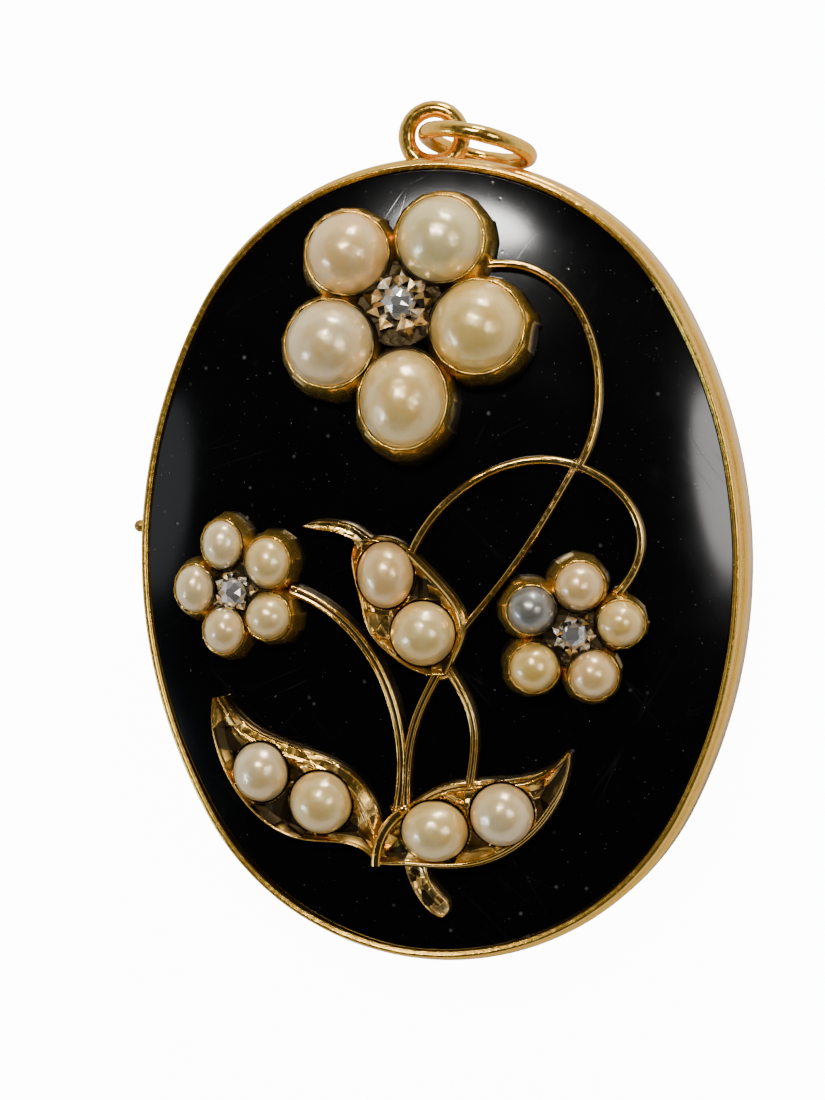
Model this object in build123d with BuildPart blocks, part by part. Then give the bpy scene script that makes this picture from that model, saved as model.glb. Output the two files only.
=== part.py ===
from build123d import *
import math
import os

os.makedirs("parts", exist_ok=True)

# Case, in millimetres: an oval of four arcs, lying on its back, top towards +Y
case_length = 48.0
case_width = 36.7
end_share = 0.898
band_height = 3.5
bezel_height = 1.3
band_edge_round = 0.35
bezel_step = 0.28
lip_width = 0.45
lip_thickness = 0.18
case_wall = 0.55
back_recess = 0.5
back_plate = 0.5
back_rim = 0.9

# Domed plaque of black stone
plaque_rise = 2.4
dome_spread = 1.18
stone_gap = 0.03

# Spray, soldered from cups, leaves and stems
unit = min(case_width / 36.7, case_length / 48.0)
spray_gap = 0.05
cup_wall = 0.17
cup_spread = 0.2
pocket_depth = 0.8
flower_floor = 0.62
floor_spread = 1.95
pearl_gap = 0.03
pearl_rise = 0.78
diamond_seat = 0.35
stem_height = 0.95
stem_width = 0.6
leaf_height = 1.25
leaf_rim = 0.25
leaf_hollow = 0.5
leaf_seat = 1.05

# Eye and jump ring
eye_wire = 1.04
eye_radius = 1.67
eye_left = 0.275
eye_above_case = 1.26
eye_height = 1.6
ring_wire = 1.04
ring_radius = 3.15
ring_lean = 12.0
ring_tilt = 13.0
ring_in_eye = 0.5

# Brooch pin under the back
pin_stand = 2.0
pin_wire = 0.76
pin_tip_out = 1.33
pin_above_centre = 2.1
hinge_share = 0.76
hinge_radius = 0.85
hinge_length = 3.2
catch_share = 0.84
catch_radius = 0.95
catch_width = 1.2

# Heights above the table that the brooch lies on
half_length = case_length / 2
half_width = case_width / 2
back_edge = pin_stand
band_top = back_edge + band_height
lip_top = band_top + bezel_height
lip_under = lip_top - lip_thickness
plate_under = back_edge + back_recess
plate_top = plate_under + back_plate
eye_y = half_length + eye_above_case
eye_z = back_edge + eye_height
eye_top = eye_y + eye_radius + eye_wire / 2
mouth_inset = bezel_step + lip_width
stone_inset = case_wall + stone_gap
end_radius = end_share * half_width

# The case stands off centre by what the pin tip and the eye add to one side
oval_x = pin_tip_out / 2
oval_y = -(eye_top - half_length) / 2

# Dome, a flat ellipsoid that meets the lip at the middle of the sides
dome_half_width = half_width * dome_spread * 0.97
dome_half_length = half_length * dome_spread * 0.97
edge_fall = math.sqrt(1 - ((half_width - mouth_inset) / dome_half_width) ** 2)
dome_height = plaque_rise / (1 - edge_fall)
dome_z = lip_under - 2 * stone_gap - dome_height * edge_fall


def dome_top(x, y):
    fall = 1 - (x / dome_half_width) ** 2 - (y / dome_half_length) ** 2
    return dome_z + dome_height * math.sqrt(max(fall, 0))


def level(height):
    return Plane((oval_x, oval_y, height))


def tilted(x, y, above_dome, right_deg, up_deg):
    right = math.tan(math.radians(right_deg))
    up = math.tan(math.radians(up_deg))
    facing = (right, up, 1)
    across = (1, 0, -right)
    height = dome_top(x, y) + above_dome
    return Plane((oval_x + x, oval_y + y, height), x_dir=across, z_dir=facing)


def oval(inset):
    side_rise = (half_width**2 - end_radius**2 + (half_length - end_radius) ** 2)
    side_radius = side_rise / (2 * (half_width - end_radius))
    end_y = half_length - end_radius
    reach = math.hypot(side_radius - half_width, end_y)
    join_x = (side_radius - half_width) / reach * (end_radius - inset)
    join_y = end_y + end_y / reach * (end_radius - inset)
    with BuildLine() as outline:
        ThreePointArc((join_x, -join_y), (half_width - inset, 0), (join_x, join_y))
        ThreePointArc((join_x, join_y), (0, half_length - inset), (-join_x, join_y))
        ThreePointArc((-join_x, join_y), (-half_width + inset, 0), (-join_x, -join_y))
        ThreePointArc((-join_x, -join_y), (0, -half_length + inset), (join_x, -join_y))
    return outline.line


# Ellipsoid of the dome, its poles out at the two sides
with BuildPart() as dome:
    Sphere(1, rotation=(0, 90, 0))
    scale(by=(dome_half_width, dome_half_length, dome_height))


def dome_lifted(lift):
    return dome.part.moved(Location((oval_x, oval_y, dome_z + lift)))


# Case: band, bezel with its lip, back plate and the eye soldered on top
with BuildPart() as case:
    with BuildSketch(level(back_edge)):
        make_face(oval(0).edges())
    extrude(amount=band_height)
    flat_edges = case.edges().filter_by_position(Axis.Z, back_edge - 0.01, back_edge + 0.01)
    flat_edges += case.edges().filter_by_position(Axis.Z, band_top - 0.01, band_top + 0.01)
    fillet(flat_edges, radius=band_edge_round)
    with BuildSketch(level(band_top - band_edge_round)):
        make_face(oval(bezel_step).edges())
    extrude(amount=bezel_height + band_edge_round)
    lip_edges = case.edges().filter_by_position(Axis.Z, lip_top - 0.01, lip_top + 0.01)
    fillet(lip_edges, radius=0.16)
    with Locations((oval_x - eye_left, oval_y + eye_y, eye_z)):
        Torus(eye_radius, eye_wire / 2)
    with BuildSketch(level(plate_top)):
        make_face(oval(case_wall).edges())
    extrude(amount=lip_under - plate_top, mode=Mode.SUBTRACT)
    with BuildSketch(level(plate_top)):
        make_face(oval(mouth_inset).edges())
    extrude(amount=lip_top - plate_top + 1, mode=Mode.SUBTRACT)
    with BuildSketch(level(back_edge)):
        make_face(oval(back_rim).edges())
    extrude(amount=back_recess, mode=Mode.SUBTRACT)
case.part.label = "case"
export_step(case.part, "parts/case.step")

# Plaque: straight girdle in the case, domed above
with BuildPart() as plaque:
    with BuildSketch(level(plate_top + stone_gap)):
        make_face(oval(stone_inset).edges())
    extrude(amount=lip_top + plaque_rise)
    add(dome_lifted(0), mode=Mode.INTERSECT)
plaque.part.label = "plaque"
export_step(plaque.part, "parts/plaque.step")

# Jump ring, through the eye and leaning down to the right
lean = math.radians(ring_lean)
tilt = math.radians(ring_tilt)
ring_far = (math.cos(lean), -math.sin(lean), 0)
ring_up = (math.sin(lean), math.cos(lean), 0)
ring_x = oval_x - eye_left + (ring_radius - ring_in_eye) * ring_far[0]
ring_y = oval_y + eye_y + (ring_radius - ring_in_eye) * ring_far[1]
ring_axis = (-ring_up[0] * math.cos(tilt), -ring_up[1] * math.cos(tilt), math.sin(tilt))
with BuildPart(Plane((ring_x, ring_y, eye_z), x_dir=ring_far, z_dir=ring_axis)) as jump_ring:
    Torus(ring_radius, ring_wire / 2)
jump_ring.part.label = "jump_ring"
export_step(jump_ring.part, "parts/jump_ring.step")

# Brooch pin: hinge block, wire and catch in one, under the back plate
pin_y = oval_y + pin_above_centre
hinge_x = oval_x + hinge_share * half_width
catch_x = oval_x - catch_share * half_width
tip_x = oval_x - half_width - pin_tip_out + pin_wire / 2
foot_top = plate_under - stone_gap
with BuildPart() as brooch_pin:
    with BuildSketch(Plane((hinge_x, pin_y - hinge_length / 2, hinge_radius), z_dir=(0, 1, 0))):
        Circle(hinge_radius)
    extrude(amount=hinge_length)
    with Locations((hinge_x, pin_y, (foot_top + hinge_radius) / 2)):
        Box(2.6 * hinge_radius, hinge_length, foot_top - hinge_radius)
    with BuildSketch(Plane((catch_x - catch_width / 2, pin_y, catch_radius), (0, 1, 0), (1, 0, 0))):
        Circle(catch_radius)
        Circle(pin_wire / 2 - 0.05, mode=Mode.SUBTRACT)
        with Locations((catch_radius / 2 + 0.2, -0.2)):
            Rectangle(catch_radius, 0.5, mode=Mode.SUBTRACT)
    extrude(amount=catch_width)
    with Locations((catch_x, pin_y, (foot_top + 1.7 * catch_radius) / 2)):
        Box(catch_width, 2 * catch_radius, foot_top - 1.7 * catch_radius)
    with BuildSketch(Plane((tip_x, pin_y, catch_radius), (0, 1, 0), (1, 0, 0))):
        Circle(pin_wire / 2)
    extrude(amount=hinge_x - tip_x)
    with Locations((tip_x, pin_y, catch_radius)):
        Sphere(pin_wire / 2)
brooch_pin.part.label = "brooch_pin"
export_step(brooch_pin.part, "parts/brooch_pin.step")

# Flowers. Columns: centre x, centre y, height of the cups, lean right, lean up, heart
flowers = {
    "big": (-1.5, 14.9, 2.1, 0, 9, 1.62),
    "left": (-11.8, -1.4, 1.6, -8, 0, 1.15),
    "right": (8.5, -4.2, 1.5, 13, -4, 1.15),
}

# Half pearls in the flowers. Columns: flower, x, y, half width, half length
flower_pearls = {
    "pearl_big_1": ("big", -4.64, 18.33, 2.46, 2.46),
    "pearl_big_2": ("big", 0.89, 19.09, 2.60, 2.60),
    "pearl_big_3": ("big", 3.13, 13.89, 2.79, 2.79),
    "pearl_big_4": ("big", -1.24, 9.70, 2.60, 2.95),
    "pearl_big_5": ("big", -5.67, 13.06, 2.62, 2.62),
    "pearl_left_1": ("left", -12.52, 1.25, 1.22, 1.46),
    "pearl_left_2": ("left", -9.72, 0.18, 1.40, 1.50),
    "pearl_left_3": ("left", -9.73, -3.03, 1.38, 1.38),
    "pearl_left_4": ("left", -12.50, -3.86, 1.24, 1.38),
    "pearl_left_5": ("left", -14.28, -1.37, 1.18, 1.44),
    "pearl_right_1": ("right", 8.87, -1.40, 1.47, 1.47),
    "pearl_right_2": ("right", 11.22, -3.65, 1.40, 1.40),
    "pearl_right_3": ("right", 9.62, -6.66, 1.45, 1.45),
    "pearl_right_4": ("right", 6.22, -6.15, 1.45, 1.45),
    "pearl_right_5": ("right", 6.09, -2.75, 1.45, 1.45),
}

# Half pearls in the leaves and the bud. Columns: x, y, half width, half length
leaf_pearls = {
    "pearl_leaf_1": (-10.65, -12.38, 1.70, 1.80),
    "pearl_leaf_2": (-6.98, -14.18, 1.90, 1.90),
    "pearl_leaf_3": (-0.11, -15.90, 2.00, 1.85),
    "pearl_leaf_4": (3.94, -14.93, 1.90, 1.90),
    "pearl_bud_1": (-2.66, -0.64, 1.70, 1.98),
    "pearl_bud_2": (-0.47, -4.13, 1.93, 1.93),
}

# Rose cut stones. Columns: flower, x, y, half width
diamonds = {
    "diamond_big": ("big", -1.57, 15.40, 1.12),
    "diamond_left": ("left", -11.89, -1.59, 0.92),
    "diamond_right": ("right", 8.56, -4.32, 0.84),
}

# Rows of facets. Columns: lower height, upper height, lower width, upper width
diamond_rows = (
    (0.0, 0.32, 1.0, 0.74),
    (0.32, 0.52, 0.74, 0.3),
)

# Stems. Columns: width as a share of the stem width, then the bends as x, y
stems = (
    (1.0, (2.6, 17.4), (7.8, 16.1), (10.0, 10.6), (8.7, 5.4)),
    (1.0, (-1.2, 0.4), (2.6, 4.8), (7.7, 5.9), (11.8, 3.2), (11.0, -1.9)),
    (0.9, (8.3, 4.9), (5.0, -0.1), (1.6, -4.2)),
    (1.1, (-8.4, -1.5), (-4.2, -4.6), (-2.5, -8.0), (-2.4, -13.6)),
    (1.1, (0.5, -6.2), (-1.1, -9.4), (-1.8, -14.4)),
    (1.0, (0.8, -6.0), (2.3, -9.2), (2.0, -13.3)),
    (2.0, (-2.4, -16.0), (-1.3, -18.6), (0.0, -20.6)),
)

# Leaves and bud. Each has two edges from stalk to tip; the bends are x, y
leaves = {
    "left": (
        ((-4.4, -17.1), (-8.2, -16.4), (-12.5, -13.0), (-13.3, -7.8)),
        ((-3.3, -15.2), (-4.9, -12.6), (-9.3, -10.6), (-13.3, -7.8)),
    ),
    "right": (
        ((-3.5, -18.1), (2.6, -17.9), (6.6, -15.1), (8.1, -11.2)),
        ((-3.5, -16.2), (0.4, -13.2), (4.8, -12.8), (8.1, -11.2)),
    ),
    "bud": (
        ((0.6, -6.8), (2.0, -3.6), (-1.2, 1.2), (-7.6, 2.35)),
        ((-0.4, -6.8), (-3.8, -3.2), (-4.6, 1.0), (-7.6, 2.35)),
    ),
}


def scaled(pairs):
    return [(x * unit, y * unit) for x, y in pairs]


def leaf_outline(edges, rim):
    tip = edges[0][-1]
    before = edges[0][-2], edges[1][-2]
    back = 4 * rim / math.dist(tip, before[0])
    end_x = tip[0] + ((before[0][0] + before[1][0]) / 2 - tip[0]) * back
    end_y = tip[1] + ((before[0][1] + before[1][1]) / 2 - tip[1]) * back
    sides = []
    for near, far in (edges, edges[::-1]):
        bends = []
        for place in range(3):
            here, there, ahead = near[place], far[place], near[place + 1]
            across = rim / math.dist(here, there)
            along = rim * (place == 0) / math.dist(here, ahead)
            x = here[0] + (there[0] - here[0]) * across + (ahead[0] - here[0]) * along
            y = here[1] + (there[1] - here[1]) * across + (ahead[1] - here[1]) * along
            bends.append((x * unit, y * unit))
        bends.append((end_x * unit, end_y * unit))
        sides.append(bends)
    with BuildLine() as outline:
        Spline(*sides[0])
        Spline(*sides[1])
        Line(sides[0][0], sides[1][0])
    return outline.line


def flower_plane(flower):
    x, y, height, right, up, heart = flowers[flower]
    return tilted(x * unit, y * unit, height * unit, right, up)


def flower_spot(flower, x, y):
    plane = flower_plane(flower)
    right = math.cos(math.radians(flowers[flower][3]))
    up = math.cos(math.radians(flowers[flower][4]))
    across = (x - flowers[flower][0]) * unit / right
    along = (y - flowers[flower][1]) * unit / up
    return Plane(plane.location * Location((across, along, 0)))


def leaf_spot(x, y):
    step = 0.01
    x_slope = (dome_top(x * unit + step, y * unit) - dome_top(x * unit - step, y * unit)) / (2 * step)
    y_slope = (dome_top(x * unit, y * unit + step) - dome_top(x * unit, y * unit - step)) / (2 * step)
    right = -math.degrees(math.atan(x_slope))
    up = -math.degrees(math.atan(y_slope))
    return tilted(x * unit, y * unit, leaf_seat, right, up)


# Spray: stems first, cut to an even height over the dome
with BuildPart() as stem_work:
    for share, *bends in stems:
        with BuildSketch(level(dome_z)):
            with BuildLine() as bend:
                Spline(*scaled(bends))
            trace(line_width=share * stem_width * unit)
        extrude(amount=lip_top + plaque_rise + 4 - dome_z)
    add(dome_lifted(stem_height), mode=Mode.INTERSECT)

# Leaves and bud: raised edges around a hollow
with BuildPart() as leaf_work:
    for edges in leaves.values():
        with BuildSketch(level(dome_z)):
            make_face(leaf_outline(edges, 0).edges())
        extrude(amount=lip_top + plaque_rise + 4 - dome_z)
    with BuildSketch(level(dome_z)):
        with Locations(scaled([(-3.4, -16.5)])[0]):
            Circle(1.0 * unit)
    extrude(amount=lip_top + plaque_rise + 4 - dome_z)
    add(dome_lifted(leaf_height), mode=Mode.INTERSECT)
with BuildPart() as leaf_hollows:
    for edges in leaves.values():
        with BuildSketch(level(dome_z)):
            make_face(leaf_outline(edges, leaf_rim).edges())
        extrude(amount=lip_top + plaque_rise + 4 - dome_z)
    add(dome_lifted(leaf_height - leaf_hollow), mode=Mode.SUBTRACT)

hanging = (Align.CENTER, Align.CENTER, Align.MAX)
with BuildPart() as spray:
    add(stem_work.part)
    add(leaf_work.part)
    add(leaf_hollows.part, mode=Mode.SUBTRACT)
    for flower, x, y, wide, long in flower_pearls.values():
        spot = flower_spot(flower, x, y)
        depth = flowers[flower][2] * unit + 1.4
        spread = cup_wall + cup_spread * depth
        with BuildSketch(spot):
            Ellipse(wide * unit + cup_wall, long * unit + cup_wall)
        with BuildSketch(spot.offset(-depth)):
            Ellipse(wide * unit + spread, long * unit + spread)
        loft()
    for name, (flower, x, y, wide) in diamonds.items():
        spot = flower_spot(flower, x, y)
        heart = flowers[flower][5] * unit
        with Locations(spot.location):
            Cone(heart * 1.25, heart, flowers[flower][2] * unit + 1.4, align=hanging)
        with Locations(flower_plane(flower).offset(-flower_floor).location):
            Cylinder(heart * floor_spread, flowers[flower][2] * unit + 1, align=hanging)
    for flower, x, y, wide, long in flower_pearls.values():
        spot = flower_spot(flower, x, y)
        with BuildSketch(spot.offset(-pocket_depth)):
            Ellipse(wide * unit + pearl_gap, long * unit + pearl_gap)
        extrude(amount=pocket_depth + 1, mode=Mode.SUBTRACT)
    for x, y, wide, long in leaf_pearls.values():
        with BuildSketch(leaf_spot(x, y).offset(-leaf_hollow)):
            Ellipse(wide * unit + pearl_gap, long * unit + pearl_gap)
        extrude(amount=leaf_hollow + 2, mode=Mode.SUBTRACT)
    for flower, x, y, wide in diamonds.values():
        with BuildSketch(flower_spot(flower, x, y).offset(-diamond_seat)):
            Circle(wide * unit + pearl_gap)
        extrude(amount=diamond_seat + 1, mode=Mode.SUBTRACT)
    add(dome_lifted(spray_gap), mode=Mode.SUBTRACT)
spray.part.label = "spray"
export_step(spray.part, "parts/spray.step")


def half_pearl(name, spot, wide, long, depth):
    rise = pearl_rise * wide
    round_radius = (wide**2 + rise**2) / (2 * rise)
    with BuildPart() as pearl:
        with Locations((0, 0, pearl_gap - depth)):
            Cylinder(wide, depth + rise, align=(Align.CENTER, Align.CENTER, Align.MIN))
        with Locations((0, 0, rise - round_radius)):
            Sphere(round_radius, mode=Mode.INTERSECT)
        if long != wide:
            scale(by=(1, long / wide, 1))
    piece = pearl.part.moved(spot.location)
    piece.label = name
    export_step(piece, "parts/" + name + ".step")


for name, (flower, x, y, wide, long) in flower_pearls.items():
    half_pearl(name, flower_spot(flower, x, y), wide * unit, long * unit, pocket_depth)
for name, (x, y, wide, long) in leaf_pearls.items():
    half_pearl(name, leaf_spot(x, y), wide * unit, long * unit, leaf_hollow)

# Rose cut stones: eight sides, two rows of facets and a small table
for name, (flower, x, y, wide) in diamonds.items():
    spot = flower_spot(flower, x, y)
    stone_width = wide * unit / math.cos(math.pi / 8) * 0.92
    with BuildPart() as diamond:
        with BuildSketch(spot.offset(pearl_gap - diamond_seat)):
            RegularPolygon(stone_width, 8)
        extrude(amount=diamond_seat)
        for low, high, base, top in diamond_rows:
            with BuildSketch(spot.offset(pearl_gap + low * stone_width)):
                RegularPolygon(base * stone_width, 8)
            with BuildSketch(spot.offset(pearl_gap + high * stone_width)):
                RegularPolygon(top * stone_width, 8)
            loft(ruled=True)
    diamond.part.label = name
    export_step(diamond.part, "parts/" + name + ".step")
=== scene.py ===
# %% [markdown]
# # An oval brooch pendant
# A gold case holds a domed black stone. On the stone lies a spray of flowers and leaves, cut
# from thin gold and set with half pearls and three rose-cut stones.
#
# The CAD model gives the shape and size. This script adds what only a picture shows: the
# hand-cut cups, the rubbed lip, tarnish, pearl lustre, scratches, the lights and the camera.
# Lengths are in millimetres until a mesh is made, where they become metres.

import math

import bmesh
import bpy
import numpy as np
from mathutils import Matrix, Quaternion, Vector


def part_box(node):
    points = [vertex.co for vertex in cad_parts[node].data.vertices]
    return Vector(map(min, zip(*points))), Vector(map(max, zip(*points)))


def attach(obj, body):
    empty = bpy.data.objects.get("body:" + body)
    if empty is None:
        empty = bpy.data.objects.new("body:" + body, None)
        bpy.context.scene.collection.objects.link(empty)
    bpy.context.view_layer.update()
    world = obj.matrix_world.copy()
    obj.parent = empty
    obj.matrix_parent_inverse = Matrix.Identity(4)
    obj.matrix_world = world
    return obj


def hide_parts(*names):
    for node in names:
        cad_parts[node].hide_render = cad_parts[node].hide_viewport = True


MM = 0.001
FULL_TURN = 2 * math.pi
DRAWN_HALF_WIDTH = 18.35  # of the case, in the drawing that gives the spray its numbers
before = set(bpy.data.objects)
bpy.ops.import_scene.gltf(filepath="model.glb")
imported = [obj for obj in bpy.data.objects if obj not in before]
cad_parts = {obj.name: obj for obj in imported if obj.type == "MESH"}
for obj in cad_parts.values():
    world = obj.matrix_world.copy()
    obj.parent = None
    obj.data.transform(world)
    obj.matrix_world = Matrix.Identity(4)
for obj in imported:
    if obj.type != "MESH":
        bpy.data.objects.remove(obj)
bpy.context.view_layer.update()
case_low, case_high = (np.array(corner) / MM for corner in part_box("case"))
stone_low, stone_high = (np.array(corner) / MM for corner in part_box("plaque"))
centre_x, centre_y = ((stone_low + stone_high) / 2)[:2]
half_width = case_high[0] - centre_x
half_length = centre_y - case_low[1]
back_edge, lip_top = case_low[2], case_high[2]
unit = half_width / DRAWN_HALF_WIDTH
print("case", round(2 * half_width, 2), "by", round(2 * half_length, 2), "mm")

# %% [markdown]
# ## Mesh helpers
# Every surface here is a grid of rows and columns, built with numpy. Such shapes could also be
# sculpted, but a grid keeps each one tied to the size that was measured from the CAD model.
# Seams and poles are welded and open ends are capped, because every piece is also handed over
# as a solid. A piece can carry a value from 0 to 1 that tells its material where the metal is
# bright: mostly wear, where handling has kept it bright, and on leaves, cups and grooved stems
# also painted shade.

# %% Grid meshes
WELD = 1e-8  # metres, between points that are the same


def grid_faces(rows, columns, close_rows=False, close_columns=False):
    row = np.arange(rows if close_rows else rows - 1)
    column = np.arange(columns if close_columns else columns - 1)
    r, c = np.meshgrid(row, column, indexing="ij")
    r2, c2 = (r + 1) % rows, (c + 1) % columns
    quads = np.stack([r * columns + c, r * columns + c2, r2 * columns + c2, r2 * columns + c], -1)
    return quads.reshape(-1, 4).tolist()


# The value set here is wear, and on leaves, cups and grooved stems also painted shade
def set_wear_and_shade(mesh, numbers):
    layer = mesh.attributes.get("wear_and_shade") or mesh.attributes.new("wear_and_shade", "FLOAT", "POINT")
    layer.data.foreach_set("value", np.asarray(numbers, np.float32).ravel())


def make_mesh(name, points, faces, wear_and_shade=None, flat=False):
    mesh = bpy.data.meshes.new(name)
    mesh.from_pydata((np.asarray(points, float).reshape(-1, 3) * MM).tolist(), [], faces)
    mesh.update()
    mesh.polygons.foreach_set("use_smooth", [not flat] * len(mesh.polygons))
    if wear_and_shade is not None:
        set_wear_and_shade(mesh, wear_and_shade)
    piece = bpy.data.objects.new(name, mesh)
    bpy.context.collection.objects.link(piece)
    return piece


# %% Close, join and read pieces
def close_up(piece, crease=None):
    """Weld seams and poles, cap what is open and turn every face outwards."""
    work = bmesh.new()
    work.from_mesh(piece.data)
    bmesh.ops.remove_doubles(work, verts=work.verts, dist=WELD)
    borders = [edge for edge in work.edges if edge.is_boundary]
    for face in bmesh.ops.holes_fill(work, edges=borders, sides=0)["faces"]:
        face.smooth = False
    bmesh.ops.recalc_face_normals(work, faces=work.faces)
    if work.calc_volume(signed=True) < 0:
        bmesh.ops.reverse_faces(work, faces=work.faces)
    work.to_mesh(piece.data)
    work.free()
    if crease:
        piece.data.set_sharp_from_angle(angle=math.radians(crease))
    return piece


def ring_mesh(name, rows, wear_and_shade=None, loop=False, crease=None):
    """A solid from rows of points that each run once round; a loop joins its last row too."""
    points = np.array(rows)
    faces = grid_faces(*points.shape[:2], loop, True)
    return close_up(make_mesh(name, points, faces, wear_and_shade), crease)


def join(pieces, name):
    bpy.ops.object.select_all(action="DESELECT")
    for piece in pieces:
        piece.select_set(True)
    bpy.context.view_layer.objects.active = pieces[0]
    bpy.ops.object.join()
    pieces[0].name = pieces[0].data.name = name
    return pieces[0]


def corners(piece):
    """The points of a piece, in millimetres."""
    spots = np.zeros(len(piece.data.vertices) * 3)
    piece.data.vertices.foreach_get("co", spots)
    return spots.reshape(-1, 3) / MM


def around(count):
    return np.linspace(0, FULL_TURN, count, endpoint=False)


def ripples(angles, seed, steps=5, strongest=1):
    """Slow waves round a circle. The lowest is the strongest, as in work done by hand."""
    rng = np.random.default_rng(seed)
    total = np.zeros_like(angles)
    for waves in range(strongest, strongest + steps):
        strength = rng.normal() / (1 + waves - strongest)
        total += strength * np.cos(waves * angles + rng.uniform(0, 6.28))
    return total / 2


print("a weld joins points nearer than", WELD / MM, "mm")

# %% [markdown]
# ## Node helpers
# No look here is a picture: gold, stone and pearl are worked out from numbers at each point of
# a surface, so they hold from every side. A photograph could be laid on the pieces instead,
# but its lights would stay in place when a piece turned. A few helpers keep each material,
# and each tree that makes a shape, down to a few lines.

# %% Nodes, groups and materials
def feed(tree, target, sources):
    """Link a socket to another one, or to a node's first output, or set what it holds."""
    for socket, source in sources.items():
        source = source.outputs[0] if hasattr(source, "outputs") else source
        if hasattr(source, "is_output"):
            tree.links.new(source, target.inputs[socket])
        else:
            target.inputs[socket].default_value = source


def add(tree, kind, sources=None, **settings):
    made = tree.nodes.new(kind if "Node" in kind else "ShaderNode" + kind)
    for key, value in settings.items():
        setattr(made, key, value)
    feed(tree, made, sources or {})
    return made


def new_group(name, kind, inputs, outputs):
    group = bpy.data.node_groups.new(name, kind + "NodeTree")
    for way, sockets in (("INPUT", inputs), ("OUTPUT", outputs)):
        for label, sort, value in sockets:
            made = group.interface.new_socket(label, in_out=way, socket_type="NodeSocket" + sort)
            if value is not None:
                made.default_value = value
    return group, group.nodes.new("NodeGroupInput").outputs, group.nodes.new("NodeGroupOutput")


def effect_group(name, inputs, outputs):
    """A shader group that puts out values only; shaders stay in the materials."""
    given = [(label, "Float", value) for label, value in inputs.items()]
    return new_group(name, "Shader", given, [(label, "Float", None) for label in outputs])


def new_material(name, constants):
    """What is the same all over the surface is set on the shader's own sockets."""
    material = bpy.data.materials.new(name)
    material.use_nodes = True
    tree = material.node_tree
    tree.nodes.clear()
    shader = add(tree, "BsdfPrincipled", constants)
    add(tree, "OutputMaterial", {"Surface": shader})
    return material, tree, shader


# %% Small sums
def maths(tree, kind, first, second=0.0, clamp=False):
    return add(tree, "Math", {0: first, 1: second}, operation=kind, use_clamp=clamp).outputs[0]


def noise(tree, scale, detail=4.0, rough=0.55, stretch=None):
    space = add(tree, "TexCoord").outputs["Object"]
    if stretch:
        space = add(tree, "Mapping", {"Vector": space, "Scale": stretch})
    return add(tree, "TexNoise", {
        "Vector": space, "Scale": scale, "Detail": detail, "Roughness": rough}).outputs["Fac"]


def spread(tree, value, low, high):
    """Stretch the values between low and high to the whole of 0 to 1."""
    return add(tree, "MapRange", {"Value": value, "From Min": low, "From Max": high}).outputs[0]


def blend(tree, factor, first, second):
    mix = add(tree, "Mix", {0: factor}, data_type="RGBA")
    for place, colour in ((6, first), (7, second)):
        feed(tree, mix, {place: colour if hasattr(colour, "is_output") else (*colour, 1)})
    return mix.outputs[2]


def bump(tree, strength, distance, height, **under):
    return add(tree, "Bump", {
        "Strength": strength, "Distance": distance, "Height": height, **under}).outputs[0]


def grey(value):
    return (value, value, value)


# %% [markdown]
# ## Two effects that several finishes share
# Old gold is bright where it is touched and dark where dirt stays. That could be painted on
# each piece by hand. Here one group mixes the piece's wear, in places with painted shade, with
# noise, so that the border between bright and dark breaks up in the same way all over the
# brooch. Pits and hairlines are left by a century of dusting. Pits are the centres of a cell
# pattern, and a hairline is where a noise, stretched almost to lines, crosses one level.

# %% Group: worn metal
tree, given, end = effect_group("worn and shaded metal", {
    "Wear And Shade": 0.5, "Patch Scale": 900.0, "Patch Strength": 0.9, "Grime": 0.3},
    ("Bright Metal", "Tone", "Grain"))
patches = maths(tree, "SUBTRACT", noise(tree, given["Patch Scale"], 5, 0.6), 0.5)
uneven = maths(tree, "MULTIPLY", patches, given["Patch Strength"])
touched = maths(tree, "ADD", given["Wear And Shade"], uneven)
shown = maths(tree, "SUBTRACT", touched, given["Grime"])
feed(tree, end, {
    "Bright Metal": spread(tree, shown, -0.16, 0.30),
    "Tone": spread(tree, noise(tree, 420, 3), 0.35, 0.65),
    "Grain": noise(tree, 3600, 3, 0.5)})
print("group", tree.name, len(tree.nodes), "nodes")
worn_and_shaded_metal = tree

# %% Group: pits and scratches
tree, given, end = effect_group("pits and scratches", {
    "Pit Scale": 900.0, "Pit Size": 0.06, "Scratch Scale": 500.0, "Scratch Width": 0.012},
    ("Pits", "Scratches"))
space = add(tree, "TexCoord").outputs["Object"]
cells = add(tree, "TexVoronoi", {"Vector": space, "Scale": given["Pit Scale"]})
away = maths(tree, "DIVIDE", cells.outputs["Distance"], given["Pit Size"])
hole = maths(tree, "SUBTRACT", 1.0, away, True)
few = spread(tree, noise(tree, 330, 2), 0.5, 0.62)
lines = 0.0
HAIR_LEVEL = 0.55  # the level of the noise that a hairline follows
# Columns: direction of the hairlines, how far they are stretched
for number, (turn, stretch) in enumerate(((0.5, 0.010), (-0.75, 0.014), (1.2, 0.009))):
    laid = add(tree, "Mapping", {"Vector": space, "Rotation": (0, 0, turn)})
    laid = add(tree, "Mapping", {"Vector": laid, "Scale": (1, stretch, 1)})
    hair = add(tree, "TexNoise", {
        "Vector": laid, "Scale": given["Scratch Scale"], "Detail": 1.0}).outputs["Fac"]
    off = maths(tree, "ABSOLUTE", maths(tree, "SUBTRACT", hair, HAIR_LEVEL))
    off = maths(tree, "DIVIDE", off, given["Scratch Width"])
    line = maths(tree, "SUBTRACT", 1.0, off, True)
    patch = spread(tree, noise(tree, 90 + 40 * number, 2), 0.55, 0.70)
    lines = maths(tree, "ADD", lines, maths(tree, "MULTIPLY", line, patch), True)
feed(tree, end, {"Pits": maths(tree, "MULTIPLY", hole, few), "Scratches": lines})
print("group", tree.name, len(tree.nodes), "nodes")
marks_group = tree

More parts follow.
